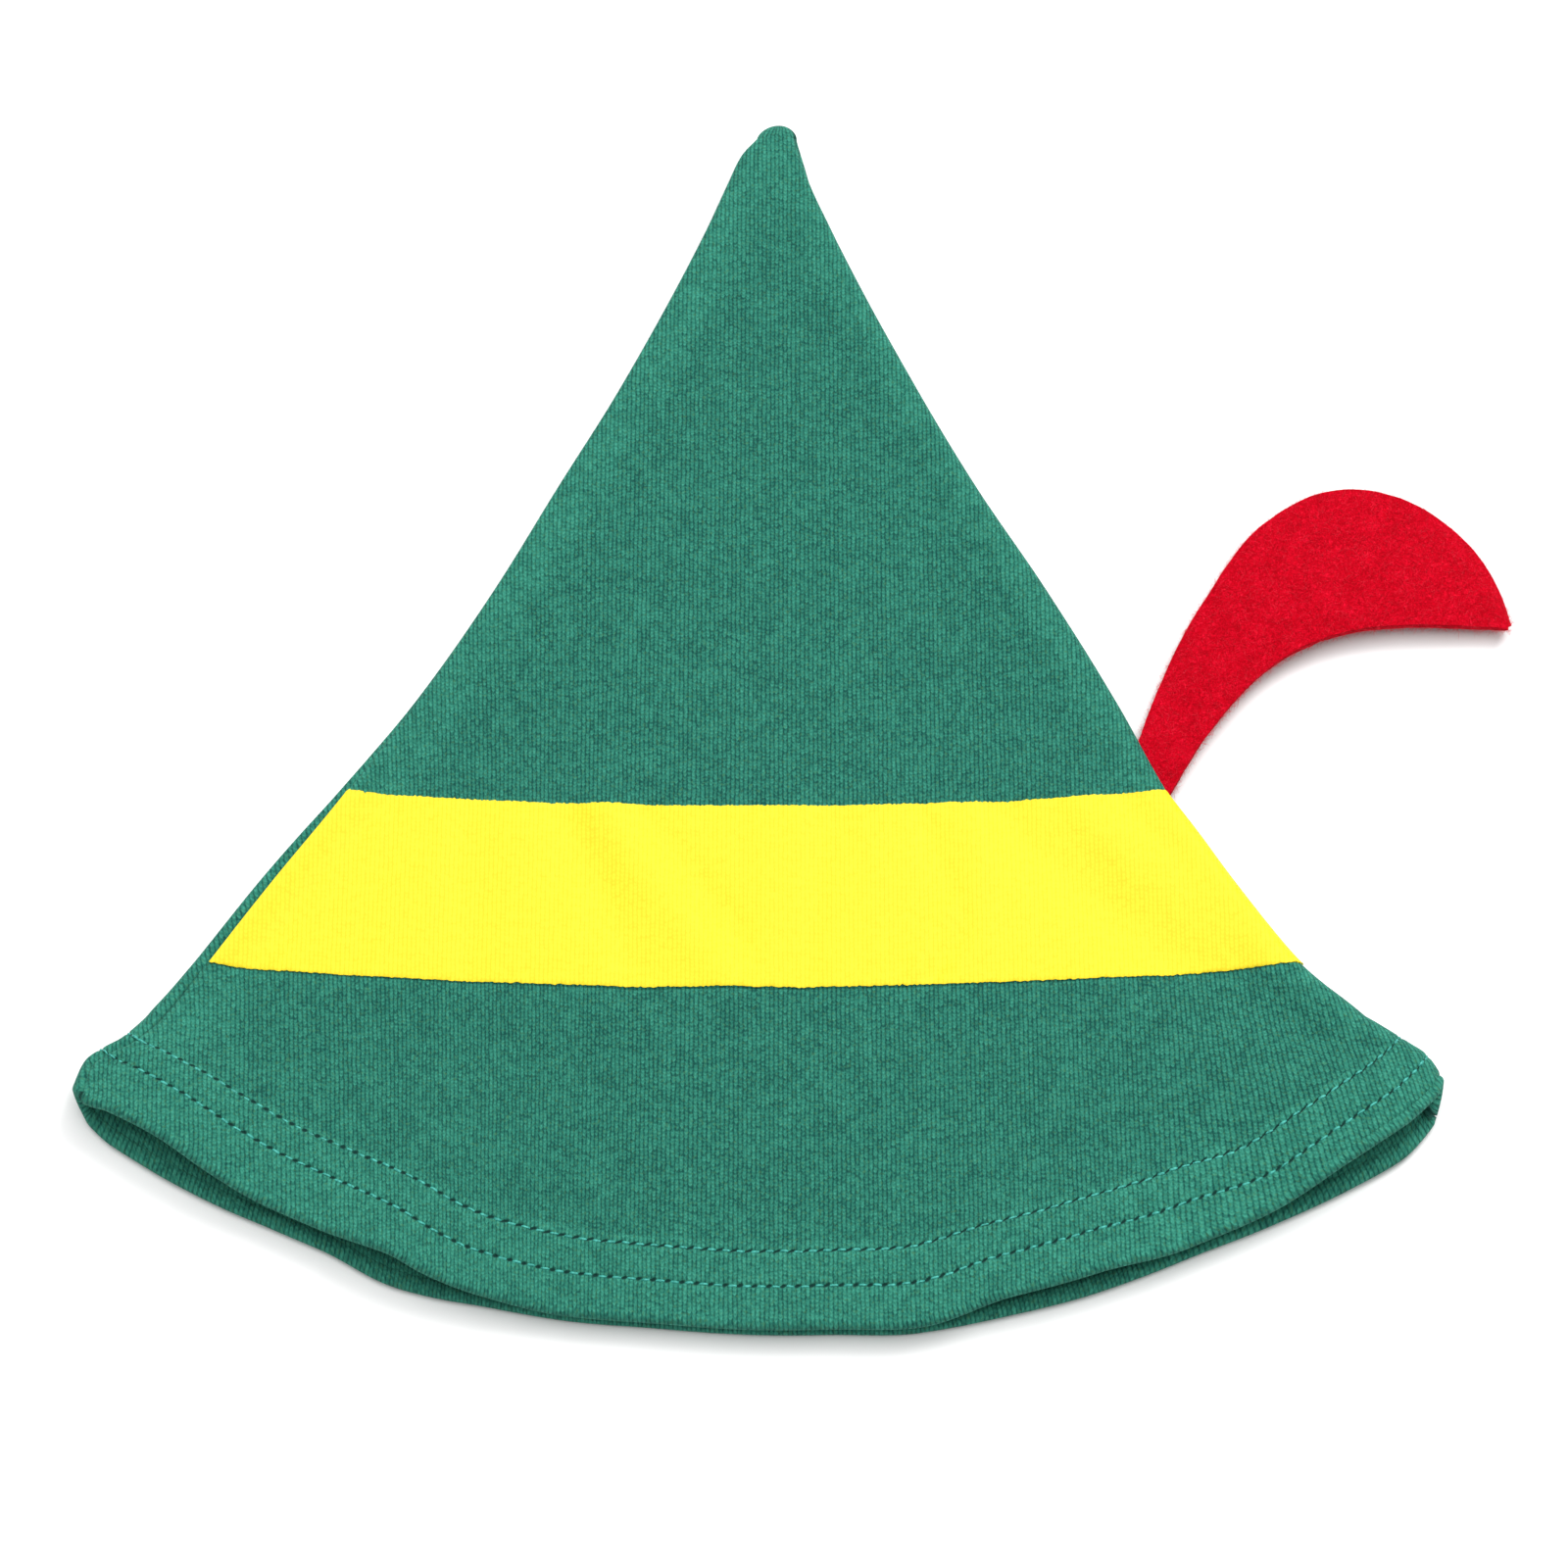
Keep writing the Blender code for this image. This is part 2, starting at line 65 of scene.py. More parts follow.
class Section(NamedTuple):
    """A line across the hat and the hat's thickness there, in millimetres.

    centre is down the middle and edge down at both side edges. left and right are the edges' distances from
    the line through the tip, left_rise and right_rise the thickness of the rounded edges, and middle the
    height of the front between them. left_seam goes from the left edge on to the top, and right_seam from
    the right edge to the underside, both along the cloth.
    """

    centre: float
    edge: float
    left: float
    right: float
    left_rise: float
    right_rise: float
    middle: float
    left_seam: float
    right_seam: float


class HemPoint(NamedTuple):
    """How the hem departs from an even curve, from across = -1 at the left edge to 1 at the right edge."""

    across: float
    swell: float
    lift: float
    set_back: float


class RowRise(NamedTuple):
    """How much further up from the hem's fold its sewing runs, from across = -1 to 1."""

    across: float
    rise: float


class Fold(NamedTuple):
    """A soft ridge between two places, or a trough where its height is below zero."""

    x1: float
    down1: float
    x2: float
    down2: float
    half_width: float
    height: float


class FeatherSection(NamedTuple):
    """A line across the felt feather: its upper edge, its lower edge and the height of the felt's middle."""

    upper_x: float
    upper_down: float
    lower_x: float
    lower_down: float
    rise: float


@dataclass(frozen=True)
class HatSizes:
    """The hat's driving sizes, in millimetres, as in the construction model."""

    length: float = 242.8
    left_reach: float = 126.2
    feather_reach: float = 136.0
    hem_depth: float = 15.0
    seam_gap: float = 0.3
    nose_radius: float = 3.4
    nose_x: float = -0.45
    nose_lean: float = 0.55
    nose_point: float = 1.4
    band_top: float = 144.0
    band_depth: float = 35.1
    felt: float = 2.0
    rim_blend: float = 8.0
    set_back_reach: float = 30.0
    lift_reach: float = 75.0
    swell_top: float = 203.0
    swell_reach: float = 45.0
    folds_stop: float = 12.0
    least_shrink: float = 0.2

    @property
    def origin_x(self) -> float:
        """x of the part's origin."""
        return (self.feather_reach - self.left_reach) / 2

    @property
    def origin_down(self) -> float:
        """down of the part's origin."""
        return self.length / 2

    @property
    def last_station(self) -> float:
        """The hem's fold, as a station below the rounded tip."""
        return self.length - self.nose_radius


HAT = HatSizes()

SECTIONS = (
    Section(HAT.nose_radius, 3.4, 4.5, 3.6, 4.6, 4.6, 4.6, 0.0, -1.0),
    Section(7.2, 7.2, 7.6, 4.6, 5.0, 5.0, 4.9, 0.0, -1.0),
    Section(13.5, 13.5, 10.4, 6.5, 4.8, 4.8, 4.5, 0.2, -0.4),
    Section(24.6, 24.6, 15.0, 10.8, 4.7, 4.7, 4.1, 0.4, 0.8),
    Section(58.6, 58.6, 31.2, 26.8, 4.8, 4.8, 3.9, 0.6, 2.0),
    Section(79.2, 79.0, 42.4, 37.6, 4.9, 4.9, 3.9, 0.7, 1.8),
    Section(100.0, 99.4, 53.4, 49.8, 5.0, 5.0, 3.9, 0.8, 1.6),
    Section(125.0, 123.5, 68.1, 63.0, 5.2, 5.2, 4.0, 1.4, 0.6),
    Section(HAT.band_top, 141.2, 81.1, 71.8, 5.3, 5.2, 4.1, 3.0, 0.0),
    Section(153.0, 149.8, 88.0, 77.3, 5.4, 5.2, 4.1, 3.7, -2.0),
    Section(161.0, 157.6, 94.0, 82.3, 5.5, 5.3, 4.1, 4.0, -1.2),
    Section(HAT.band_top + HAT.band_depth, 174.7, 106.1, 94.8, 5.7, 5.5, 4.2, 4.3, 2.0),
    Section(203.0, 182.3, 111.9, 103.1, 6.4, 6.4, 4.6, 4.8, 3.4),
    Section(HAT.length - HAT.hem_depth, 188.9, 117.8, 110.4, 7.9, 7.9, 5.5, 5.0, 4.4),
    Section(HAT.length - 11.0, 191.2, 121.5, 113.2, 8.4, 8.3, 5.6, 4.6, 4.7),
    Section(HAT.length - 7.6, 193.4, 124.0, 115.8, 8.8, 8.7, 5.6, 4.9, 5.0),
    Section(HAT.length, 199.6, HAT.left_reach, 119.2, 9.6, 9.3, 5.6, 6.6, 5.4),
)

HEM = (
    HemPoint(-1.00, 1.0, 4.0, 1.0),
    HemPoint(-0.97, 2.9, 4.3, 2.4),
    HemPoint(-0.94, 3.7, 4.6, 4.2),
    HemPoint(-0.87, 3.6, 5.4, 5.0),
    HemPoint(-0.78, 3.0, 4.2, 3.5),
    HemPoint(-0.70, 2.1, 2.2, 2.3),
    HemPoint(-0.63, 1.8, 2.4, 2.2),
    HemPoint(-0.53, 3.3, 4.5, 3.8),
    HemPoint(-0.47, 2.8, 3.1, 2.2),
    HemPoint(-0.39, 1.6, 1.5, 0.6),
    HemPoint(-0.28, 0.8, 0.0, 0.0),
    HemPoint(-0.13, -0.3, 0.0, 0.0),
    HemPoint(0.00, 0.0, 0.0, 0.0),
    HemPoint(0.10, 0.4, 0.0, 0.0),
    HemPoint(0.23, 2.0, 0.0, 0.0),
    HemPoint(0.36, 2.2, 1.9, 2.0),
    HemPoint(0.48, 2.7, 2.6, 2.1),
    HemPoint(0.62, 2.8, 1.1, 0.7),
    HemPoint(0.73, 3.9, 1.6, 1.2),
    HemPoint(0.85, 5.3, 4.4, 3.4),
    HemPoint(0.93, 6.0, 4.8, 4.4),
    HemPoint(0.98, 3.6, 4.4, 3.6),
    HemPoint(1.00, 0.8, 4.2, 2.6),
)

# The sewing wanders: the hem is deeper towards the left corner and shallower towards the right one
ROW_RISES = (
    RowRise(-1.00, 3.4),
    RowRise(-0.87, 3.2),
    RowRise(-0.67, 2.9),
    RowRise(-0.59, 2.4),
    RowRise(-0.50, 1.1),
    RowRise(-0.40, 0.0),
    RowRise(0.62, 0.0),
    RowRise(0.77, -1.5),
    RowRise(0.87, -1.1),
    RowRise(1.00, -0.8),
)

# The largest folds of the front, which the solids have too
FOLDS = (
    Fold(42.0, 146.0, 62.0, 167.0, 5.5, -1.0),
    Fold(71.0, 174.5, 104.0, 193.0, 6.0, -1.0),
    Fold(57.0, 147.0, 90.0, 172.0, 7.0, 0.7),
    Fold(-31.6, 146.0, -9.7, 178.0, 4.5, 0.8),
    Fold(-39.0, 147.0, -25.6, 176.0, 4.0, -0.6),
    Fold(-24.0, 147.0, -8.0, 168.0, 3.5, -0.6),
    Fold(-64.0, 191.0, -33.0, 198.0, 9.0, -0.9),
    Fold(38.0, 199.0, 50.0, 211.0, 9.0, -0.8),
    Fold(-34.0, 209.0, -8.0, 228.0, 4.5, -0.6),
    Fold(2.0, 15.0, 1.0, 52.0, 3.0, -0.5),
)

# The lesser creases of each panel, which only the cloth here has
FRONT_CREASES = (
    Fold(-56.4, 144.0, -55.6, 177.0, 4.5, -0.35),
    Fold(10.0, 144.0, 4.5, 178.0, 3.5, -0.35),
    Fold(26.0, 144.0, 31.0, 160.0, 2.6, -0.35),
    Fold(28.0, 177.0, 34.0, 166.0, 1.5, -0.45),
    Fold(25.0, 175.0, 31.5, 164.0, 1.5, 0.30),
    Fold(37.0, 149.0, 36.0, 171.0, 4.0, 0.35),
    Fold(51.0, 145.0, 58.0, 155.0, 3.0, -0.35),
    Fold(-28.0, 180.0, -14.0, 187.0, 3.0, -0.30),
    Fold(-98.0, 177.0, -90.0, 189.0, 1.7, -0.35),
    Fold(-93.0, 176.0, -86.0, 187.0, 1.4, -0.25),
    Fold(-47.5, 220.0, -33.6, 223.8, 2.2, -0.35),
    Fold(-60.0, 214.0, -40.0, 219.0, 3.5, -0.25),
    Fold(85.0, 196.0, 96.0, 204.0, 4.0, -0.35),
    Fold(62.0, 205.0, 82.0, 210.0, 5.0, -0.30),
    Fold(-56.0, 120.0, -42.0, 138.0, 8.0, -0.40),
    Fold(28.0, 108.0, 40.0, 124.0, 7.0, -0.35),
    Fold(12.0, 60.0, 26.0, 92.0, 3.5, -0.25),
    Fold(-18.0, 80.0, -30.0, 112.0, 5.0, 0.25),
    Fold(-108.0, 186.0, -98.0, 197.0, 2.2, 0.35),
    Fold(-86.0, 206.0, -70.0, 217.0, 3.0, -0.30),
)
BACK_CREASES = (
    Fold(-60.0, 150.0, -38.0, 176.0, 5.0, -0.70),
    Fold(-20.0, 140.0, 6.0, 172.0, 4.0, -0.55),
    Fold(34.0, 152.0, 58.0, 168.0, 5.5, -0.65),
    Fold(-14.0, 60.0, -4.0, 96.0, 4.0, -0.35),
    Fold(12.0, 186.0, 40.0, 204.0, 6.0, -0.70),
    Fold(-84.0, 186.0, -52.0, 200.0, 7.0, -0.60),
    Fold(66.0, 184.0, 88.0, 190.0, 3.5, -0.45),
    Fold(-30.0, 212.0, -6.0, 222.0, 4.0, -0.40),
    Fold(20.0, 96.0, 32.0, 122.0, 5.0, -0.35),
    Fold(0.0, 20.0, -2.0, 48.0, 2.5, -0.25),
)

FEATHER_ROOT = (131.5, 142.0)
FEATHER = (
    FeatherSection(71.4, 118.4, 78.2, 131.0, 3.0),
    FeatherSection(79.4, 103.0, 89.4, 117.9, 3.5),
    FeatherSection(91.4, 86.8, 100.0, 111.3, 3.8),
    FeatherSection(102.5, 80.5, 107.6, 109.0, 3.8),
    FeatherSection(115.0, 80.7, 116.0, 108.0, 3.6),
    FeatherSection(124.6, 86.0, 123.2, 107.9, 3.3),
    FeatherSection(131.5, 93.9, 129.4, 108.0, 3.0),
    FeatherSection(134.6, 101.0, 133.6, 108.1, 2.8),
    FeatherSection(HAT.feather_reach, 107.3, HAT.feather_reach, 108.4, 2.7),
)


def smooth_curve(at: np.ndarray, knots: Sequence[float], values: Sequence[float]) -> np.ndarray:
    """Monotone cubic curve through a table's values, so nothing overshoots between its rows.

    Args:
        at: Where the curve is read.
        knots: The table's places, rising.
        values: The table's values.

    Returns:
        The curve's values.
    """
    knots = np.asarray(knots, float)
    values = np.asarray(values, float)
    step = np.diff(knots)
    slope = np.diff(values) / step
    tangent = np.zeros_like(values)
    for i in range(1, len(knots) - 1):
        if slope[i - 1] * slope[i] > 0:
            w1 = 2 * step[i] + step[i - 1]
            w2 = step[i] + 2 * step[i - 1]
            tangent[i] = (w1 + w2) / (w1 / slope[i - 1] + w2 / slope[i])
    tangent[0] = slope[0]
    tangent[-1] = slope[-1]
    at = np.clip(at, knots[0], knots[-1])
    i = np.clip(np.searchsorted(knots, at) - 1, 0, len(step) - 1)
    t = (at - knots[i]) / step[i]
    return (
        values[i] * (1 + 2 * t) * (1 - t) ** 2
        + tangent[i] * step[i] * t * (1 - t) ** 2
        + values[i + 1] * t * t * (3 - 2 * t)
        + tangent[i + 1] * step[i] * t * t * (t - 1)
    )


def ease(t: np.ndarray) -> np.ndarray:
    """0 to 1 with level ends."""
    t = np.clip(t, 0.0, 1.0)
    return t * t * (3 - 2 * t)


def hem_value(name: str, across: np.ndarray) -> np.ndarray:
    """One column of the hem's table at places across."""
    return smooth_curve(across, [p.across for p in HEM], [getattr(p, name) for p in HEM])


def row_rise(across: np.ndarray) -> np.ndarray:
    """How much further up the hem's sewing runs at places across."""
    return smooth_curve(across, [p.across for p in ROW_RISES], [p.rise for p in ROW_RISES])


def fold_height(folds: Sequence[Fold], x: np.ndarray, down: np.ndarray) -> np.ndarray:
    """The heights of some folds, added up, at places on the hat.

    Args:
        folds: The ridges and troughs.
        x: Places from the line through the tip.
        down: The same places from the tip down.

    Returns:
        Height at each place, below zero in a trough.
    """
    total = np.zeros_like(x)
    for fold in folds:
        run_x, run_down = fold.x2 - fold.x1, fold.down2 - fold.down1
        length = math.hypot(run_x, run_down)
        along = ((x - fold.x1) * run_x + (down - fold.down1) * run_down) / length
        aside = ((x - fold.x1) * run_down - (down - fold.down1) * run_x) / length
        past = np.maximum(0.0, np.abs(along - length / 2) - length / 2)
        total += fold.height * np.exp(-(aside**2 + past**2) / fold.half_width**2)
    return total


def to_metres(points: np.ndarray) -> np.ndarray:
    """Places on the hat (x, down, height) in the part's own frame."""
    x, down, z = np.moveaxis(points, -1, 0)
    return np.stack((x - HAT.origin_x, HAT.origin_down - down, z), axis=-1) * MM


class Ring:
    """One section's closed loop, over the top from the left edge and back along the floor.

    Args:
        station: From 0 it is millimetres below the rounded tip. From -1 to 0 it is on the rounded tip.
    """

    def __init__(self, station: float) -> None:
        self.angle = (station + 1) * math.pi / 2 if station < 0 else math.pi / 2
        self.shrink = math.sin(self.angle) ** HAT.nose_point
        knots = [row.centre for row in SECTIONS]
        centre = HAT.nose_radius + max(station, 0.0)
        self.row = Section(*(float(smooth_curve(centre, knots, column)) for column in zip(*SECTIONS)))
        row = self.row
        self.half = (row.left + row.right) / 2
        self.mid_x = (row.right - row.left) / 2
        self.from_hem = HAT.length - row.centre
        self.swell = ease((row.centre - HAT.swell_top) / HAT.swell_reach)
        self.across = np.linspace(-1, 1, 241)
        x, down = self.plan(self.across)
        self.run = np.concatenate(([0.0], np.cumsum(np.hypot(np.diff(x), np.diff(down)))))
        self.width = self.run[-1]
        self.left_radius = row.left_rise / 2
        self.right_radius = row.right_rise / 2
        self.left_quarter = self.left_radius * math.pi / 2
        self.right_quarter = self.right_radius * math.pi / 2
        self.flat = self.width - self.left_radius - self.right_radius
        self.right_edge = self.left_quarter + self.flat + self.right_quarter
        self.length = 2 * (self.left_quarter + self.flat + self.right_quarter)

    def plan(self, across: np.ndarray) -> tuple[np.ndarray, np.ndarray]:
        """x and down of the section's line, seen from above."""
        row = self.row
        sag = (row.centre - row.edge) * (1 - across**2)
        return self.mid_x + self.half * across, row.edge + sag + self.swell * hem_value("swell", across)

    def top(self, m: np.ndarray) -> np.ndarray:
        """Height of the front, m along the section from the left edge."""
        row = self.row
        across = np.interp(m, self.run, self.across)
        x, down = self.plan(across)
        fade = np.clip(1 - self.from_hem / HAT.lift_reach, 0, 1) ** 2
        hem_calm = ease((self.from_hem - HAT.folds_stop) / HAT.hem_depth)
        middle = row.middle + fade * hem_value("lift", across) + hem_calm * fold_height(FOLDS, x, down)
        blend = min(HAT.rim_blend, self.flat / 2)
        left = 1 - ease((m - self.left_radius) / blend)
        right = 1 - ease((self.width - self.right_radius - m) / blend)
        return middle + (row.left_rise - middle) * left + (row.right_rise - middle) * right

    def profile(self, s: np.ndarray) -> tuple[np.ndarray, np.ndarray]:
        """Distance from the left edge and height, s along the loop from the left edge over the top."""
        s = np.mod(s, self.length)
        m = np.empty_like(s)
        z = np.empty_like(s)
        shoulder = self.left_quarter
        far_shoulder = shoulder + self.flat
        under = far_shoulder + 2 * self.right_quarter
        back_left = under + self.flat
        left_turn = (s < shoulder) | (s >= back_left)
        turn = np.where(s < shoulder, s, s - self.length) / self.left_radius
        m[left_turn] = (self.left_radius * (1 - np.cos(turn)))[left_turn]
        z[left_turn] = (self.left_radius * (1 + np.sin(turn)))[left_turn]
        over = (s >= shoulder) & (s < far_shoulder)
        m[over] = self.left_radius + s[over] - shoulder
        z[over] = self.top(m[over])
        right_turn = (s >= far_shoulder) & (s < under)
        turn = (s[right_turn] - self.right_edge) / self.right_radius
        m[right_turn] = self.width - self.right_radius * (1 - np.cos(turn))
        z[right_turn] = self.right_radius * (1 - np.sin(turn))
        floor = (s >= under) & (s < back_left)
        m[floor] = self.width - self.right_radius - (s[floor] - under)
        z[floor] = 0.0
        return m, z

    def points(self, s: np.ndarray) -> np.ndarray:
        """Places on the hat's outside, as x, down and height."""
        m, z = self.profile(np.asarray(s, float))
        across = np.interp(m, self.run, self.across)
        x, down = self.plan(across)
        upper = ease(z / self.row.middle)
        fade = np.clip(1 - self.from_hem / HAT.set_back_reach, 0, 1)
        down = down - upper * fade * hem_value("set_back", across)
        if self.angle < math.pi / 2:
            down = down - HAT.nose_radius * math.cos(self.angle)
            x = HAT.nose_x + HAT.nose_lean * math.cos(self.angle) + (x - HAT.nose_x) * self.shrink
            z = self.left_radius + (z - self.left_radius) * self.shrink
        return np.stack((x, down, z), axis=1)

    def across_at(self, s: np.ndarray) -> np.ndarray:
        """How far across the hat places along the loop are, from -1 to 1."""
        return np.interp(self.profile(np.asarray(s, float))[0], self.run, self.across)

    def grain(self, s: np.ndarray) -> np.ndarray:
        """How far across the cloth each place is, along the knit's courses and round both edges."""
        m, _ = self.profile(np.asarray(s, float))
        x, _ = self.plan(np.interp(m, self.run, self.across))
        start = np.where(s > self.length / 2 + self.right_edge / 2, s - self.length, s)
        left = np.minimum(np.abs(start), self.left_quarter) - np.minimum(m, self.left_radius)
        right = np.minimum(np.abs(s - self.right_edge), self.right_quarter) - np.minimum(
            self.width - m, self.right_radius
        )
        slack_left = self.left_quarter - self.left_radius
        slack_right = self.right_quarter - self.right_radius
        return x + (left - slack_left) - (right - slack_right)

    def calm(self, s: np.ndarray) -> np.ndarray:
        """1 away from the rounded edges and 0 round them, where the cloth has no creases."""
        m, _ = self.profile(np.asarray(s, float))
        near = np.minimum(m - self.left_radius, self.width - self.right_radius - m)
        return ease(near / 5.0)

    def gap(self) -> float:
        """Half the seam's gap along the loop, which grows where the tip shrinks it."""
        return HAT.seam_gap / 2 / max(self.shrink, HAT.least_shrink)

    def ends(self, side: Side) -> tuple[float, float]:
        """Where a panel starts and ends along the loop."""
        row = self.row
        right = self.right_edge + row.right_seam
        if side is Side.FRONT:
            return row.left_seam + self.gap(), right - self.gap()
        return right + self.gap(), self.length + row.left_seam - self.gap()


def spread(landmarks: Sequence[float], counts: Sequence[int]) -> np.ndarray:
    """Places along a line: each stretch between two landmarks is divided evenly."""
    stretches = zip(landmarks, landmarks[1:], counts)
    places = [np.linspace(a, b, n, endpoint=False) for a, b, n in stretches]
    return np.append(np.concatenate(places), landmarks[-1])


@dataclass(frozen=True)
class Rumple:
    """Faint unevenness of soft cloth: smooth noise on a lattice, the same on every run."""

    seed: int
    cell: float
    height: float
    reach: int = 64

    def __call__(self, x: np.ndarray, down: np.ndarray) -> np.ndarray:
        """Height at places on the cloth, between -height and height."""
        lattice = np.random.default_rng(self.seed).uniform(-1, 1, (self.reach, self.reach))
        a, b = x / self.cell + self.reach / 2, down / self.cell + 1.0
        i, j = np.floor(a).astype(int), np.floor(b).astype(int)
        fa, fb = ease(a - i), ease(b - j)
        i, j = i % (self.reach - 1), j % (self.reach - 1)
        low = lattice[i, j] * (1 - fa) + lattice[i + 1, j] * fa
        high = lattice[i, j + 1] * (1 - fa) + lattice[i + 1, j + 1] * fa
        return self.height * (low * (1 - fb) + high * fb)


@dataclass(frozen=True)
class HemSizes:
    """The turned-in hem and its twin-needle coverstitch, in millimetres."""

    rows: tuple[float, float] = (7.6, 13.9)
    pitch: float = 2.54
    groove: float = 0.30
    groove_half_width: float = 0.55
    puff: float = 0.40
    flare_from_fold: float = 2.1
    flare_groove: float = 0.55
    flare_half_width: float = 0.40
    flare_start: float = 0.80


HEM_SIZES = HemSizes()


@dataclass
class Cloth:
    """The hat's outside as the real cloth has it: the hat's form with its creases and its hem's relief."""

    rumples: tuple[Rumple, ...] = (Rumple(11, 17.0, 0.20), Rumple(5, 6.5, 0.08))
    difference: float = 0.05
    film_edge: float = 0.35
    film_dent: float = 0.35

    def relief(self, side: Side, ring: Ring, s: np.ndarray, points: np.ndarray) -> np.ndarray:
        """How far the cloth stands out from the plain form.

        Args:
            side: The panel.
            ring: The section that the places are on.
            s: The places along its loop.
            points: The same places as x, down and height.

        Returns:
            Distance outwards at each place.
        """
        x, down = points[:, 0], points[:, 1]
        across = ring.across_at(s)
        hem = ring.from_hem - row_rise(across)
        calm = ring.calm(s)
        grooves = sum(-np.exp(-(((hem - row) / HEM_SIZES.groove_half_width) ** 2)) for row in HEM_SIZES.rows)
        uneven = sum(rumple(x, down) for rumple in self.rumples)
        if side is Side.BACK:
            lifted = fold_height(BACK_CREASES, x, down) + np.minimum(uneven, 0.0)
            return calm * lifted + HEM_SIZES.groove * grooves
        within = ease((hem - HAT.hem_depth * 0.3) / HAT.hem_depth)
        creases = fold_height(FRONT_CREASES, x, down) * (0.35 + 0.65 * within)
        puff = HEM_SIZES.puff * ease((HAT.hem_depth + 0.8 - hem) / 1.6)
        flare = np.exp(-(((ring.from_hem - HEM_SIZES.flare_from_fold) / HEM_SIZES.flare_half_width) ** 2))
        flare = flare * ease((across - HEM_SIZES.flare_start) / 0.1) * HEM_SIZES.flare_groove
        edge = ring.row.centre - HAT.band_top - HAT.band_depth - self.film_edge
        dent = self.film_dent * math.exp(-((edge / self.film_edge) ** 2))
        return calm * (creases + uneven + puff - dent) + HEM_SIZES.groove * grooves - flare

    def row(self, side: Side, station: float, places_of: Callable[[Ring], np.ndarray]) -> "ClothRow":
        """One row of the cloth's outside across a panel.

        Args:
            side: The panel.
            station: The row's section.
            places_of: Gives the row's places along a ring's loop.

        Returns:
            The row, with its points, normals and knit coordinates.
        """
        ring = Ring(station)
        places = places_of(ring)
        step = self.difference if station > 0 else self.difference / 5
        up, low = (Ring(float(np.clip(station + d, -0.999, HAT.last_station))) for d in (-step, step))
        along = low.points(places_of(low)) - up.points(places_of(up))
        across = ring.points(places + self.difference) - ring.points(places - self.difference)
        normal = np.cross(across, along)
        normal /= np.maximum(np.linalg.norm(normal, axis=1, keepdims=True), 1e-12)
        points = ring.points(places)
        if station >= 0:
            points = points + normal * self.relief(side, ring, places, points)[:, None]
        return ClothRow(ring, places, points, normal, ring.grain(places))


@dataclass
class ClothRow:
    """A row of places on the cloth's outside, from one seam to the other."""

    ring: Ring
    places: np.ndarray
    points: np.ndarray
    normal: np.ndarray
    grain: np.ndarray


def only(item: bpy.types.Object) -> None:
    """Make an object the only selected one, and the active one."""
    bpy.ops.object.select_all(action="DESELECT")
    item.select_set(True)
    bpy.context.view_layer.objects.active = item


def apply_modifier(item: bpy.types.Object, kind: str, **settings: object) -> None:
    """Add a modifier with these settings to an object and apply it."""
    only(item)
    modifier = item.modifiers.new(kind.lower(), kind)
    for name, value in settings.items():
        setattr(modifier, name, value)
    bpy.ops.object.modifier_apply(modifier=modifier.name)


def lay_sheet(name: str, places: np.ndarray, maps: dict[str, np.ndarray]) -> bpy.types.Object:
    """Add a flat grid, as a cut piece of cloth, and lay its points at their places.

    Args:
        name: The piece's name.
        places: Rows by columns of points, in metres.
        maps: UV maps by name, rows by columns of two coordinates each.

    Returns:
        The sheet, one face thick, with its faces towards the outside.
    """
    rows, columns = places.shape[:2]
    bpy.ops.object.select_all(action="DESELECT")
    bpy.ops.mesh.primitive_grid_add(x_subdivisions=columns - 1, y_subdivisions=rows - 1, size=1, calc_uvs=False)
    item = bpy.context.active_object
    item.name = name
    item.data.name = name
    flat = np.empty(len(item.data.vertices) * 3)
    item.data.vertices.foreach_get("co", flat)
    flat = flat.reshape(-1, 3)
    column = np.rint((flat[:, 0] + 0.5) * (columns - 1)).astype(int)
    row = np.rint((0.5 - flat[:, 1]) * (rows - 1)).astype(int)
    item.data.vertices.foreach_set("co", places[row, column].ravel())
    corner = np.empty(len(item.data.loops), int)
    item.data.loops.foreach_get("vertex_index", corner)
    for label, values in maps.items():
        layer = item.data.uv_layers.new(name=label)
        layer.uv.foreach_set("vector", values[row, column][corner].ravel())
    item.data.update()
    return item


def merge_points(item: bpy.types.Object, distance: float = 1e-6) -> None:
    """Merge points that share a place, as where rows close to a pole."""
    only(item)
    bpy.ops.object.mode_set(mode="EDIT")
    bpy.ops.mesh.select_all(action="SELECT")
    bpy.ops.mesh.remove_doubles(threshold=distance)
    bpy.ops.object.mode_set(mode="OBJECT")


def keep_above_floor(item: bpy.types.Object) -> None:
    """Press what reaches below the floor flat on to it."""
    spots = np.empty(len(item.data.vertices) * 3)
    item.data.vertices.foreach_get("co", spots)
    spots = spots.reshape(-1, 3)
    spots[:, 2] = np.maximum(spots[:, 2], 0.0)
    item.data.vertices.foreach_set("co", spots.ravel())
    item.data.update()


def dress(item: bpy.types.Object, material: bpy.types.Material, slot: str, *nodes: str) -> None:
    """Give a finished piece its material and its body, and hide the solids that it stands for.

    Args:
        item: The piece.
        material: Its finish.
        slot: Not used.
        nodes: The construction's nodes that it replaces.
    """
    only(item)
    bpy.ops.object.shade_smooth_by_angle(angle=math.radians(55))
    item.data.materials.clear()
    item.data.materials.append(material)
    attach(item, "root")
    if nodes:
        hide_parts(*nodes)
    log.info("%s: %d faces", item.name, len(item.data.polygons))


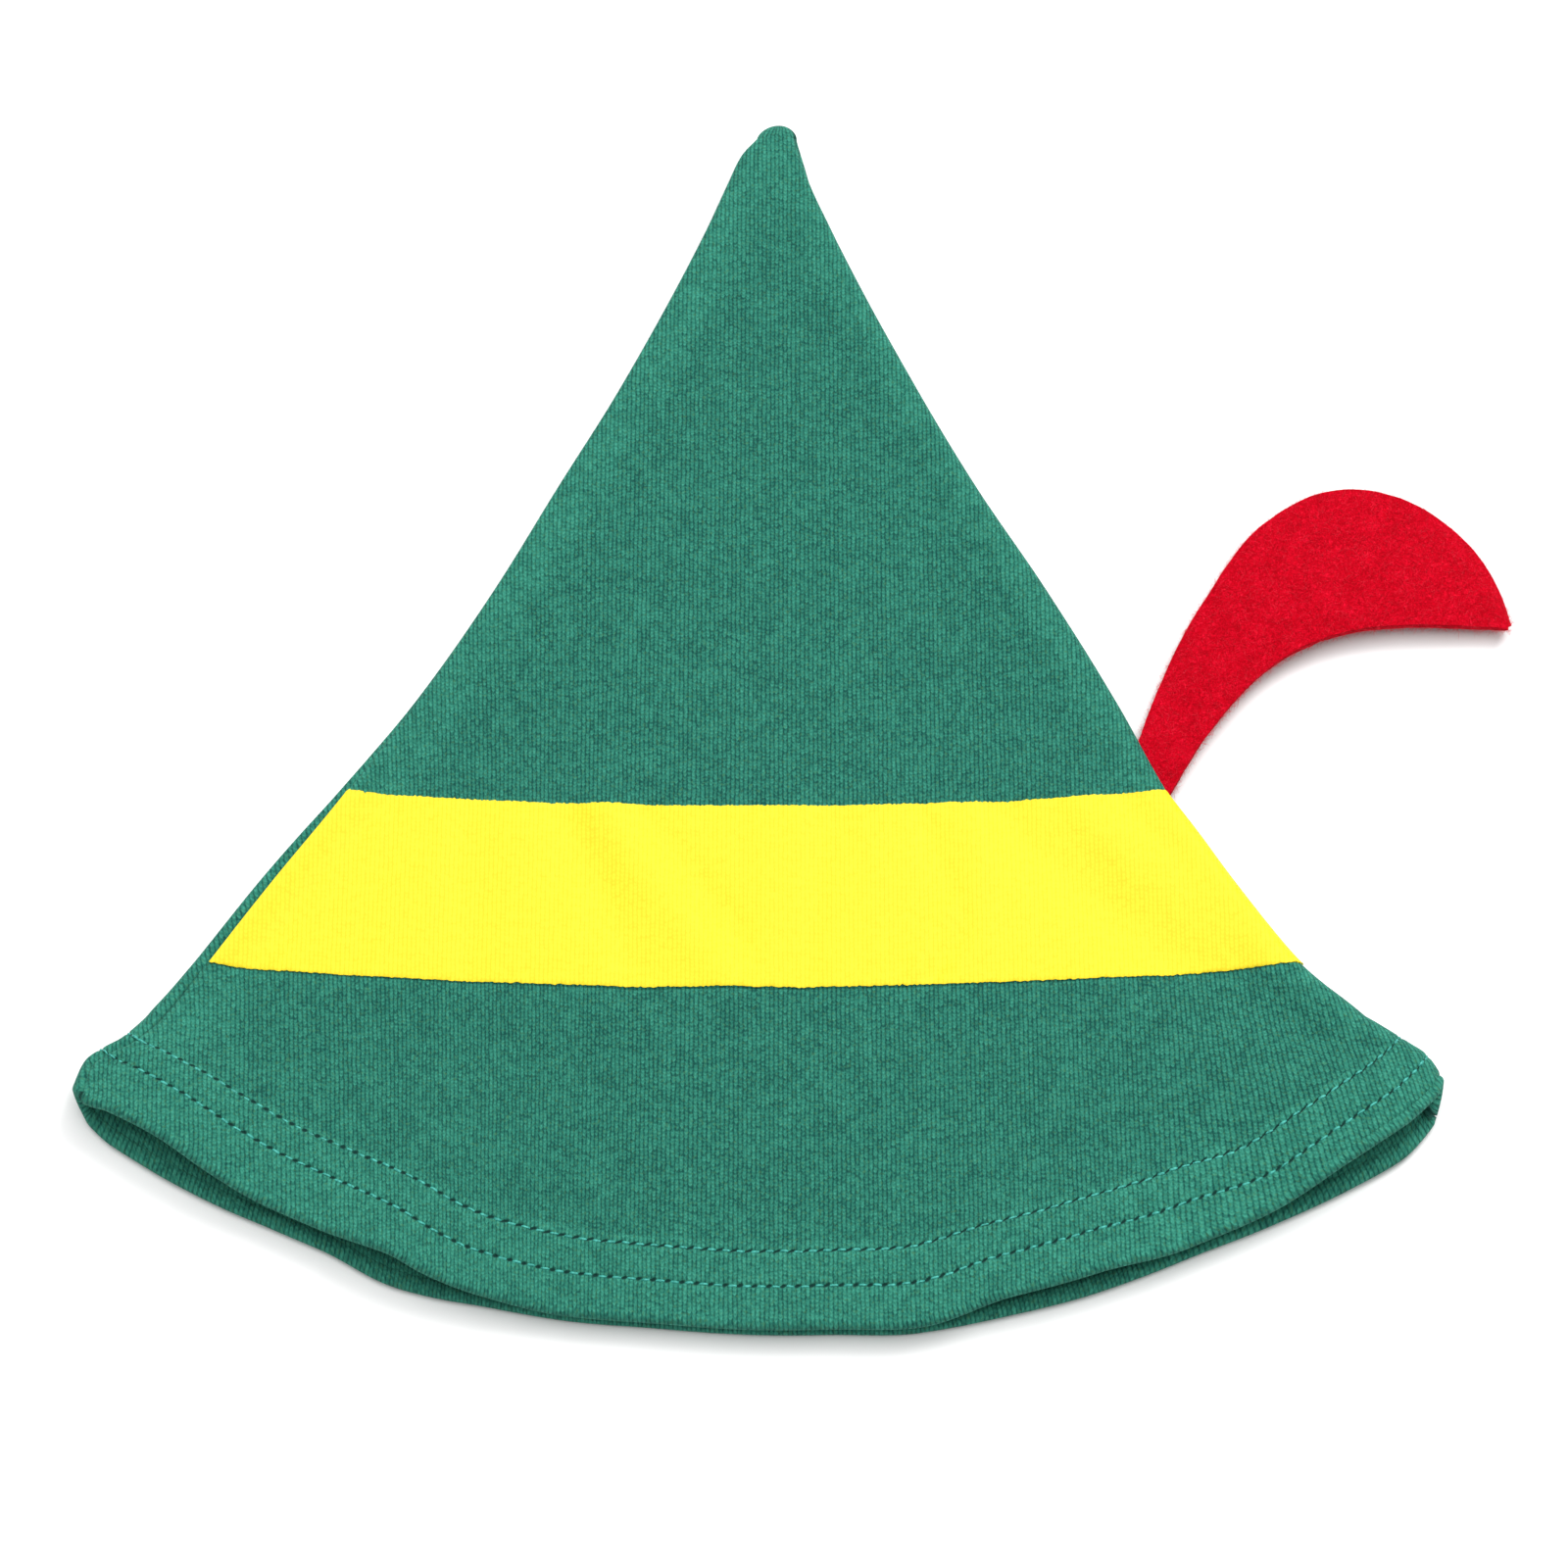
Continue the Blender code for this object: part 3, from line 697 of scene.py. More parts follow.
class Graph:
    """Short ways to build the nodes of one material.

    Args:
        name: The material's name.
    """

    def __init__(self, name: str) -> None:
        self.material = bpy.data.materials.new(name)
        self.material.use_nodes = True
        self.tree = self.material.node_tree
        self.shader = self.tree.nodes["Principled BSDF"]

    def feed(self, socket: bpy.types.NodeSocket, value: object) -> None:
        """Link a socket to another one, or set its value."""
        if isinstance(value, bpy.types.NodeSocket):
            self.tree.links.new(value, socket)
        elif socket.type == "RGBA":
            socket.default_value = (*value, 1.0)
        else:
            socket.default_value = value

    def add(self, kind: str, inputs: dict[str | int, object], **settings: object) -> bpy.types.Node:
        """Add a node with its settings and inputs."""
        node = self.tree.nodes.new(kind)
        for name, value in settings.items():
            setattr(node, name, value)
        for key, value in inputs.items():
            self.feed(node.inputs[key], value)
        return node

    def math(self, operation: str, a: object, b: object = 0.0, c: object = 0.0) -> bpy.types.NodeSocket:
        """One step of arithmetic."""
        return self.add("ShaderNodeMath", {0: a, 1: b, 2: c}, operation=operation).outputs[0]

    def total(self, *terms: object) -> bpy.types.NodeSocket:
        """A sum of values."""
        result = terms[0]
        for term in terms[1:]:
            result = self.math("ADD", result, term)
        return result

    def product(self, *terms: object) -> bpy.types.NodeSocket:
        """A product of values."""
        result = terms[0]
        for term in terms[1:]:
            result = self.math("MULTIPLY", result, term)
        return result

    def mix(self, share: object, a: object, b: object) -> bpy.types.NodeSocket:
        """A blend of two colours."""
        node = self.add("ShaderNodeMix", {0: share, 6: a, 7: b}, data_type="RGBA")
        return node.outputs[2]

    def span(self, value: object, low: float, high: float, start: float = 0.0, end: float = 1.0) -> object:
        """A value's course from low to high, smoothly made to run from start to end."""
        inputs = {0: value, 1: low, 2: high, 3: start, 4: end}
        return self.add("ShaderNodeMapRange", inputs, interpolation_type="SMOOTHSTEP").outputs[0]

    def uv(self, name: str) -> tuple[bpy.types.NodeSocket, bpy.types.NodeSocket, bpy.types.NodeSocket]:
        """A UV map as a vector and as its two coordinates, in millimetres."""
        source = self.add("ShaderNodeUVMap", {}, uv_map=name).outputs[0]
        scaled = self.add("ShaderNodeVectorMath", {0: source, 1: (1000.0,) * 3}, operation="MULTIPLY").outputs[0]
        parts = self.add("ShaderNodeSeparateXYZ", {0: scaled}).outputs
        return scaled, parts[0], parts[1]

    def place(self) -> bpy.types.NodeSocket:
        """The place on the object, in millimetres."""
        source = self.add("ShaderNodeTexCoord", {}).outputs["Object"]
        return self.add("ShaderNodeVectorMath", {0: source, 1: (1000.0,) * 3}, operation="MULTIPLY").outputs[0]

    def noise(self, vector: object, size: float, detail: float = 2.0, distortion: float = 0.0) -> object:
        """Smooth noise between 0 and 1, with patches of this size."""
        inputs = {"Vector": vector, "Scale": 1.0 / size, "Detail": detail, "Distortion": distortion}
        return self.add("ShaderNodeTexNoise", inputs).outputs[0]

    def bump(self, height: object, distance: float, strength: float = 1.0) -> None:
        """Drive the shader's normal with a height from 0 to 1 that stands for this distance in metres."""
        inputs = {"Height": height, "Distance": distance, "Strength": strength}
        self.feed(self.shader.inputs["Normal"], self.add("ShaderNodeBump", inputs).outputs[0])

    def finish(self, colour: object, roughness: object, **sockets: object) -> bpy.types.Material:
        """Set the shader's colour and roughness, and its other sockets by name, and return the material."""
        self.feed(self.shader.inputs["Base Color"], colour)
        self.feed(self.shader.inputs["Roughness"], roughness)
        for name, value in sockets.items():
            self.feed(self.shader.inputs[name.replace("_", " ")], value)
        return self.material


@dataclass(frozen=True)
class Knit:
    """The wales and courses of cotton interlock, in millimetres."""

    wale: float = 0.80
    course: float = 0.78
    wobble: float = 0.26
    slant: float = 0.7

    def stitches(self, graph: Graph, u: object, v: object, vector: object) -> tuple[object, object]:
        """The knit's relief, worked out from its UV map.

        Args:
            graph: The material in the making.
            u: Place across the wales, in millimetres.
            v: Place along the wales, in millimetres.
            vector: Both as a vector.

        Returns:
            The height from 0 to 1, and a random shade from 0 to 1 for each stitch.
        """
        sway = graph.math("SUBTRACT", graph.noise(vector, 3.5, 1.0), 0.5)
        sway_too = graph.math("SUBTRACT", graph.noise(vector, 2.1, 1.0, 0.4), 0.5)
        across = graph.math("MULTIPLY_ADD", sway, self.wobble * 1.6, graph.math("DIVIDE", u, self.wale))
        wale = graph.math("FLOOR", across)
        aside = graph.math("ABSOLUTE", graph.math("SUBTRACT", graph.math("FRACT", across), 0.5))
        start = graph.add("ShaderNodeTexWhiteNoise", {"W": wale}, noise_dimensions="1D").outputs[0]
        along = graph.total(
            graph.math("DIVIDE", v, self.course),
            start,
            graph.product(aside, self.slant),
            graph.product(sway_too, self.wobble * 2.4),
        )
        course = graph.math("FLOOR", along)
        loop = graph.math("COSINE", graph.product(graph.math("FRACT", along), 2 * math.pi))
        rib = graph.math("COSINE", graph.product(aside, math.pi))
        split = graph.span(aside, 0.0, 0.14, 0.22, 0.0)
        legs = graph.math("SUBTRACT", rib, split)
        height = graph.product(legs, graph.math("MULTIPLY_ADD", loop, 0.20, 0.80))
        spot = graph.add("ShaderNodeCombineXYZ", {0: wale, 1: course}).outputs[0]
        shade = graph.add("ShaderNodeTexWhiteNoise", {"Vector": spot}, noise_dimensions="2D").outputs[0]
        return height, shade


@dataclass(frozen=True)
class KnitFinish:
    """Green cotton interlock with its needle holes along the hem, and painted shade and light on its knit, holes and
    seams.
    """

    # gap is painted shade for the hollows between stitches and crest a painted highlight on their tops; random tone
    # reaches both too.
    gap: Colour = (0.004, 0.058, 0.048)
    yarn: Colour = (0.019, 0.158, 0.112)
    crest: Colour = (0.045, 0.275, 0.195)
    warm: Colour = (0.050, 0.165, 0.075)
    # Painted shade for the needle holes and for the groove at each seam.
    painted_hole_and_seam_shade: Colour = (0.002, 0.026, 0.022)
    # How much lighter the cloth is painted near the seams and over the hem, as painted light on the raised rims.
    painted_rim_light: float = 0.16
    knit: Knit = Knit()

    def needle_holes(self, graph: Graph) -> object:
        """1 in the needle holes of the hem's two rows and 0 elsewhere."""
        _, along, from_fold = graph.uv("hem")
        beat = graph.math("SUBTRACT", graph.math("FRACT", graph.math("DIVIDE", along, HEM_SIZES.pitch)), 0.5)
        near = graph.product(graph.math("SUBTRACT", 0.5, graph.math("ABSOLUTE", beat)), HEM_SIZES.pitch)
        holes = 0.0
        for row in HEM_SIZES.rows:
            aside = graph.math("SUBTRACT", from_fold, row)
            far = graph.math("SQRT", graph.math("ADD", graph.product(near, near), graph.product(aside, aside)))
            holes = graph.math("MAXIMUM", graph.span(far, 0.72, 0.30), holes)
        return holes

    def material(self) -> bpy.types.Material:
        """The finished material."""
        graph = Graph("green_knit")
        vector, u, v = graph.uv("cloth")
        height, shade = self.knit.stitches(graph, u, v, vector)
        heather = graph.noise(vector, 0.42, 3.0)
        cloud = graph.noise(vector, 6.0, 3.0)
        _, from_seam, from_fold = graph.uv("edges")
        # Painted light: 1 within about 7 mm of a seam and over the hem, fading out by 13 mm from the seam and 16 mm
        # from the fold.
        lifted = graph.math("MAXIMUM", graph.span(from_seam, 13.0, 7.0), graph.span(from_fold, 16.0, 14.5))
        # The knit's height darkens towards gap in the hollows and lightens towards crest on the tops: painted shade and
        # highlight. The stitch, heather and cloud terms are random tone.
        tone = graph.total(
            graph.product(height, 0.85),
            graph.product(graph.math("SUBTRACT", shade, 0.5), 0.42),
            graph.product(graph.math("SUBTRACT", heather, 0.5), 1.5),
            graph.product(graph.math("SUBTRACT", cloud, 0.5), 0.35),
            graph.product(lifted, self.painted_rim_light),
        )
        body = graph.mix(graph.span(tone, -0.05, 0.62), self.gap, self.yarn)
        lit = graph.mix(graph.span(tone, 0.5, 1.25), body, self.crest)
        tint = graph.noise(vector, 0.5, 2.0, 0.8)
        tinted = graph.mix(graph.span(tint, 0.52, 0.74, 0.0, 0.55), lit, self.warm)
        holes = self.needle_holes(graph)
        # Painted shade: the cloth darkens in the needle holes and in the groove right at each seam.
        seam = graph.span(from_seam, 0.75, 0.25, 0.0, 0.8)
        colour = graph.mix(graph.math("MAXIMUM", holes, seam), tinted, self.painted_hole_and_seam_shade)
        relief = graph.math("SUBTRACT", graph.math("ADD", height, graph.product(heather, 0.5)), holes)
        graph.bump(relief, 0.00016)
        return graph.finish(
            colour, 0.94, Sheen_Weight=0.12, Sheen_Roughness=0.5, Sheen_Tint=(0.30, 0.85, 0.68), Specular_IOR_Level=0.15
        )


@dataclass(frozen=True)
class FilmFinish:
    """Matt yellow film that lets the wales show through a little, with painted shade in their hollows."""

    body: Colour = (0.80, 0.668, 0.020)
    # The darker, more orange yellow: painted shade in the wales' hollows, and random mottle.
    shade_and_mottle_yellow: Colour = (0.75, 0.560, 0.008)
    knit: Knit = Knit(wobble=0.22)

    def material(self) -> bpy.types.Material:
        """The finished material."""
        graph = Graph("yellow_film")
        vector, u, v = graph.uv("cloth")
        height, shade = self.knit.stitches(graph, u, v, vector)
        mottle = graph.noise(vector, 1.4, 3.0)
        # Painted shade: the film darkens where the wales underneath dip; the mottle and stitch terms are random tone.
        trough_shade_and_mottle = graph.total(
            graph.product(height, 0.5),
            graph.product(mottle, 0.6),
            graph.product(graph.math("SUBTRACT", shade, 0.5), 0.12),
        )
        colour = graph.mix(graph.span(trough_shade_and_mottle, 0.25, 0.75), self.shade_and_mottle_yellow, self.body)
        graph.bump(graph.math("ADD", height, graph.product(mottle, 0.6)), 0.00003)
        return graph.finish(colour, 0.62, Specular_IOR_Level=0.25)


@dataclass(frozen=True)
class FeltFinish:
    """Red fibre felt with a swirling nap."""

    deep: Colour = (0.34, 0.0002, 0.005)
    body: Colour = (0.56, 0.0004, 0.010)
    crest: Colour = (0.78, 0.006, 0.030)

    def material(self) -> bpy.types.Material:
        """The finished material."""
        graph = Graph("red_felt")
        place = graph.place()
        swirls = []
        for size, turn in ((0.30, 2.2), (0.60, 3.0)):
            flow = graph.add("ShaderNodeTexNoise", {"Vector": place, "Scale": 0.35 / size, "Detail": 2.0})
            bent = graph.add(
                "ShaderNodeVectorMath", {0: flow.outputs["Color"], 1: (turn,) * 3, 2: place}, operation="MULTIPLY_ADD"
            ).outputs[0]
            swirls.append(graph.noise(bent, size, 3.0, 1.6))
        nap = graph.product(graph.total(*swirls), 0.5)
        cloud = graph.noise(place, 5.0, 2.0)
        tone = graph.total(graph.product(graph.math("SUBTRACT", nap, 0.5), 3.4), graph.product(cloud, 0.5), 0.25)
        body = graph.mix(graph.span(tone, 0.1, 0.6), self.deep, self.body)
        colour = graph.mix(graph.span(tone, 0.55, 1.0), body, self.crest)
        graph.bump(nap, 0.0006, 0.8)
        return graph.finish(
            colour, 0.97, Sheen_Weight=0.12, Sheen_Roughness=0.5, Sheen_Tint=(1.0, 0.04, 0.10), Specular_IOR_Level=0.05
        )


@dataclass(frozen=True)
class StrandFinish:
    """A plain fibre or thread colour with small changes along it."""

    name: str
    dark: Colour
    light: Colour
    roughness: float = 0.6

    def material(self) -> bpy.types.Material:
        """The finished material."""
        graph = Graph(self.name)
        streak = graph.noise(graph.place(), 0.5, 2.0)
        colour = graph.mix(graph.span(streak, 0.3, 0.7), self.dark, self.light)
        graph.bump(streak, 0.00003)
        return graph.finish(colour, self.roughness, Specular_IOR_Level=0.35)


@dataclass
class Panel:
    """One knitted panel, cut as a sheet and folded in at the hem."""

    side: Side
    cloth: Cloth
    wall: float = 1.1
    fold_radius: float = 0.70
    nose_rows: int = 10
    crown_rows: int = 164
    hem_rows: int = 44
    fold_rows: int = 8
    inner_rows: int = 22
    seam_columns: int = 6
    rim_columns: int = 18
    middle_columns: int = 146
    seam_roll: float = 1.2
    roll_reach: float = 1.9
    film_rows: tuple[float, ...] = (-0.9, -0.5, -0.2, 0.1, 0.4, 0.7, 1.1)
    rim_groove: float = 0.30
    rim_groove_at: float = 1.7
    rim_groove_half_width: float = 0.45
    allowance: float = 1.5
    allowance_reach: float = 3.4
    lean_right: float = 0.22
    lean_left: float = 0.06

    def columns(self, ring: Ring) -> np.ndarray:
        """The columns' places along a ring's loop, closer together at the seams and round the edges."""
        start, end = ring.ends(self.side)
        roll = min(self.roll_reach, (end - start) / 8)
        rim = min(HAT.rim_blend, ring.flat / 4)
        if self.side is Side.FRONT:
            first = max(ring.left_quarter, start + roll) + rim
            last = min(ring.left_quarter + ring.flat - rim, end - roll - 0.5)
        else:
            under = ring.right_edge + ring.right_quarter
            first = max(under, start + roll) + rim
            last = ring.length - ring.left_quarter - rim
        marks = (start, start + roll, first, last, end - roll, end)
        counts = (
            self.seam_columns, self.rim_columns, self.middle_columns, self.rim_columns + 6, self.seam_columns,
        )
        return spread(marks, counts)

    def stations(self) -> np.ndarray:
        """The rows' sections, from the tip to where the hem's fold begins."""
        hem = HAT.last_station - HAT.hem_depth - 1.0
        fold = HAT.last_station - self.fold_radius - self.wall / 2
        nose = np.linspace(-1, 0, self.nose_rows, endpoint=False)
        crown = np.linspace(0, hem, self.crown_rows, endpoint=False)
        film = HAT.band_top + HAT.band_depth - HAT.nose_radius + np.array(self.film_rows)
        crown = crown[(crown < film[0] - 0.3) | (crown > film[-1] + 0.3)]
        return np.sort(np.concatenate((nose, crown, film, np.linspace(hem, fold, self.hem_rows))))

    def lean(self, x: np.ndarray, down: np.ndarray) -> np.ndarray:
        """How far the wales stray from straight, towards the hem's corners."""
        right = self.lean_right * ease((x - 60.0) / 55.0) * np.maximum(down - 170.0, 0.0)
        left = self.lean_left * ease((-x - 20.0) / 60.0) * np.maximum(down - 90.0, 0.0)
        return -right - left

    def build(self) -> bpy.types.Object:
        """The panel's wall, with its hem turned in and its UV maps."""
        inside = self.wall / 2
        nose = np.array((HAT.nose_x, HAT.nose_radius, SECTIONS[0].left_rise / 2))
        inner_nose = 1 - inside / np.array((HAT.nose_radius, HAT.nose_radius, nose[2]))
        places, weave, sewing, edges = [], [], [], []
        for station in self.stations():
            row = self.cloth.row(self.side, station, self.columns)
            start, end = row.places[0], row.places[-1]
            reach = np.minimum(row.places - start, end - row.places) * row.ring.shrink
            reaches = (reach, row.ring.from_hem - row_rise(row.ring.across_at(row.places)))
            roll = self.seam_roll * np.clip(1 - reach / self.roll_reach, 0, 1) ** 2 * min(1.0, row.ring.width / 20)
            if station < 0:
                points = nose + (row.points - nose) * inner_nose
            else:
                points = row.points - row.normal * (inside + roll)[:, None]
            places.append(points)
            down = row.points[:, 1]
            weave.append(np.stack((row.grain + self.lean(row.points[:, 0], down), down), axis=1))
            sewing.append(np.stack((row.places - start, reaches[1]), axis=1))
            edges.append(np.stack(reaches, axis=1))
        self.turn_in(places, weave, sewing)
        edges += [edges[-1] * (1.0, 0.0)] * (len(places) - len(edges))
        maps = {"cloth": np.array(weave) * MM, "hem": np.array(sewing) * MM, "edges": np.array(edges) * MM}
        item = lay_sheet(self.side.value + "_knit", to_metres(np.array(places)), maps)
        merge_points(item)
        apply_modifier(item, "SOLIDIFY", thickness=self.wall * MM, offset=0.0, use_rim=True)
        keep_above_floor(item)
        return item

    def turn_in(self, places: list, weave: list, sewing: list) -> None:
        """Add the rows of the hem's fold and of the layer that is turned in.

        Args:
            places: The rows so far, in millimetres.
            weave: Their knit coordinates.
            sewing: Their coordinates along and from the hem's fold.
        """
        centre_depth = self.wall / 2 + self.fold_radius
        fold = HAT.last_station - centre_depth
        turns = np.linspace(0, math.pi, self.fold_rows + 1)[1:]
        path = [(fold + self.fold_radius * math.sin(a), centre_depth - self.fold_radius * math.cos(a)) for a in turns]
        for share in np.linspace(0, 1, self.inner_rows + 1)[1:] ** 1.6:
            behind = share * (HAT.hem_depth - centre_depth)
            dent = self.rim_groove * math.exp(-(((behind - self.rim_groove_at) / self.rim_groove_half_width) ** 2))
            path.append((fold - behind, centre_depth + self.fold_radius - dent))
        travelled = 0.0
        before = (fold, self.wall / 2)
        last_weave = weave[-1]
        last_sewing = sewing[-1]
        for station, depth in path:
            travelled += math.dist(before, (station, depth))
            before = (station, depth)
            row = self.cloth.row(self.side, station, self.columns)
            reach = np.minimum(row.places - row.places[0], row.places[-1] - row.places)
            bulge = self.allowance * np.clip(1 - reach / self.allowance_reach, 0, 1) ** 2
            bulge = bulge * ease((depth - self.wall) / self.fold_radius)
            places.append(row.points - row.normal * (depth + bulge)[:, None])
            weave.append(last_weave + (0.0, travelled))
            sewing.append(np.stack((last_sewing[:, 0], np.full(len(last_sewing), -travelled)), axis=1))


@dataclass
class Band:
    """The pressed-on film across the front, its edges ragged by the wales."""

    cloth: Cloth
    film: float = 0.26
    lift: float = 0.04
    rows: int = 22
    columns: int = 440
    ragged: float = 0.08
    top_gap: float = 2.2
    end_gap: float = 0.3

    def places_of(self, ring: Ring) -> np.ndarray:
        """The film's columns, from the left seam to the right edge."""
        start = ring.ends(Side.FRONT)[0] + 0.55
        share = np.clip((ring.row.centre - HAT.band_top) / (HAT.band_depth * 0.5), 0, 1)
        end = ring.right_edge - self.top_gap + (self.top_gap - self.end_gap) * share
        return np.linspace(start, end, self.columns)

    def build(self) -> bpy.types.Object:
        """The film's thin wall on the front."""
        top = HAT.band_top - HAT.nose_radius
        share = np.linspace(0, 1, self.rows)
        share = 0.5 - 0.5 * np.cos(share * math.pi) * np.abs(np.cos(share * math.pi)) ** 0.2
        rng = np.random.default_rng(3)
        rough = rng.normal(0, self.ragged, (2, self.columns))
        rows = [self.cloth.row(Side.FRONT, top + HAT.band_depth * part, self.places_of) for part in share]
        places = np.array([row.points + row.normal * (self.lift + self.film / 2) for row in rows])
        weave = np.array([np.stack((row.grain, row.points[:, 1]), axis=1) for row in rows])
        for i in (0, -1):
            places[i, :, 1] += rough[i]
            weave[i, :, 1] += rough[i]
        item = lay_sheet("band_film", to_metres(places), {"cloth": weave * MM})
        apply_modifier(item, "SOLIDIFY", thickness=self.film * MM, offset=0.0, use_rim=True)
        return item


@dataclass
class Feather:
    """The crescent of felt, with rounded cut edges and a short nap."""

    thickness: float = 1.7
    rows: int = 110
    columns: int = 26
    lumps: tuple[Rumple, ...] = (Rumple(21, 2.4, 0.10), Rumple(22, 0.9, 0.05))
    fibres: int = 9000
    fibre_radius: float = 0.024

    def sections(self, shares: np.ndarray) -> np.ndarray:
        """The felt's middle surface at the sections of its table, root first."""
        knots = [row.edge for row in SECTIONS]
        root_down = FEATHER_ROOT[0] + (FEATHER_ROOT[1] - FEATHER_ROOT[0]) * shares
        root_x = smooth_curve(root_down, knots, [row.right for row in SECTIONS]) + HAT.seam_gap * 1.4 - 1.2
        ring = Ring(HAT.band_top - HAT.nose_radius)
        rows = [np.stack((root_x, root_down, np.full_like(shares, ring.row.right_rise / 2)), axis=1)]
        for part in FEATHER:
            x = part.upper_x + (part.lower_x - part.upper_x) * shares
            down = part.upper_down + (part.lower_down - part.upper_down) * shares
            rise = part.rise + 0.5 * (2 * shares - 1) + 0.5 * np.sin(shares * math.pi)
            rows.append(np.stack((x, down, rise), axis=1))
        return np.array(rows)

    def middle(self) -> np.ndarray:
        """The felt's middle surface, rows by columns, on smooth curves through its sections."""
        shares = 0.5 - 0.5 * np.cos(np.linspace(0, math.pi, self.columns))
        rows = self.sections(shares)
        steps = np.linalg.norm(np.diff(rows.mean(axis=1), axis=0), axis=1)
        knots = np.concatenate(([0.0], np.cumsum(steps)))
        ends = 1 - (1 - np.linspace(0, 1, self.rows)) ** 1.15
        at = ends * knots[-1]
        i = np.clip(np.searchsorted(knots, at) - 1, 0, len(steps) - 1)
        t = ((at - knots[i]) / steps[i])[:, None, None]
        slope = np.gradient(rows, knots, axis=0)
        span = steps[i][:, None, None]
        return (
            rows[i] * (1 + 2 * t) * (1 - t) ** 2
            + slope[i] * span * t * (1 - t) ** 2
            + rows[i + 1] * t * t * (3 - 2 * t)
            + slope[i + 1] * span * t * t * (t - 1)
        )

    def build(self) -> bpy.types.Object:
        """The felt's body."""
        places = self.middle()
        for lump in self.lumps:
            places[..., 2] += lump(places[..., 0], places[..., 1])
        item = lay_sheet("feather_felt", to_metres(places), {})
        apply_modifier(item, "SOLIDIFY", thickness=self.thickness * MM, offset=0.0, use_rim=True)
        apply_modifier(item, "BEVEL", width=0.5 * MM, segments=3, limit_method="ANGLE", angle_limit=math.radians(50))
        return item

    def nap(self, felt: bpy.types.Object) -> bpy.types.Object:
        """Loose fibres on the felt's faces and round its cut edge."""
        rng = np.random.default_rng(31)
        spots, normals, areas = face_table(felt)
        edge = np.abs(normals[:, 2]) < 0.8
        weight = areas * np.where(edge, 3.5, np.where(normals[:, 2] > 0, 1.0, 0.5))
        chosen = rng.choice(len(areas), self.fibres, p=weight / weight.sum())
        roots = spots[chosen] + rng.normal(0, 0.25 * MM, (self.fibres, 3))
        roots -= normals[chosen] * 0.1 * MM
        lean = rng.normal(0, 1, (self.fibres, 3))
        lean -= normals[chosen] * (lean * normals[chosen]).sum(axis=1, keepdims=True)
        lean /= np.linalg.norm(lean, axis=1, keepdims=True)
        rise = rng.uniform(0.05, 0.45, (self.fibres, 1)) + 0.25 * edge[chosen][:, None]
        return strands("feather_nap", roots, lean + normals[chosen] * rise, rng, (0.5, 1.7), self.fibre_radius)


def face_table(item: bpy.types.Object) -> tuple[np.ndarray, np.ndarray, np.ndarray]:
    """The middles, normals and areas of an object's faces."""
    count = len(item.data.polygons)
    spots, normals, areas = np.empty(count * 3), np.empty(count * 3), np.empty(count)
    item.data.polygons.foreach_get("center", spots)
    item.data.polygons.foreach_get("normal", normals)
    item.data.polygons.foreach_get("area", areas)
    return spots.reshape(-1, 3), normals.reshape(-1, 3), areas


def strands(
    name: str,
    roots: np.ndarray,
    ways: np.ndarray,
    rng: np.random.Generator,
    lengths: tuple[float, float],
    radius: float,
) -> bpy.types.Object:
    """Many short curved fibres of three sides as one mesh.

    Args:
        name: The piece's name.
        roots: Where each fibre starts, in metres.
        ways: The direction each one sets out in.
        rng: The random numbers to draw from.
        lengths: The shortest and the longest, in millimetres.
        radius: Their radius at the root, in millimetres.

    Returns:
        The joined mesh.
    """
    count, joints = len(roots), 4
    ways = ways / np.linalg.norm(ways, axis=1, keepdims=True)
    bend = np.cross(ways, rng.normal(0, 1, (count, 3)))
    bend /= np.linalg.norm(bend, axis=1, keepdims=True)
    length = rng.uniform(*lengths, (count, 1)) * MM
    curl = rng.uniform(-0.9, 0.9, (count, 1))
    side = np.cross(ways, bend)
    rings = []
    for share in np.linspace(0, 1, joints):
        middle = roots + ways * length * share + bend * length * curl * share**2 * 0.6
        thick = radius * MM * (1.0 - 0.65 * share)
        for angle in (0.0, 2 * math.pi / 3, 4 * math.pi / 3):
            rings.append(middle + (bend * math.cos(angle) + side * math.sin(angle)) * thick)
    spots = np.stack(rings, axis=1)
    spots[..., 2] = np.maximum(spots[..., 2], 0.0)
    quads = []
    for j in range(joints - 1):
        for k in range(3):
            a, b = j * 3 + k, j * 3 + (k + 1) % 3
            quads.append((a, b, b + 3, a + 3))
    corner = (np.arange(count) * joints * 3)[:, None, None] + np.array(quads)[None]
    caps = (np.arange(count) * joints * 3)[:, None, None] + np.array(((2, 1, 0), (9, 10, 11)))[None]
    data = bpy.data.meshes.new(name)
    faces = corner.reshape(-1, 4).tolist() + caps.reshape(-1, 3).tolist()
    data.from_pydata(spots.reshape(-1, 3).tolist(), [], faces)
    data.update()
    item = bpy.data.objects.new(name, data)
    bpy.context.scene.collection.objects.link(item)
    return item


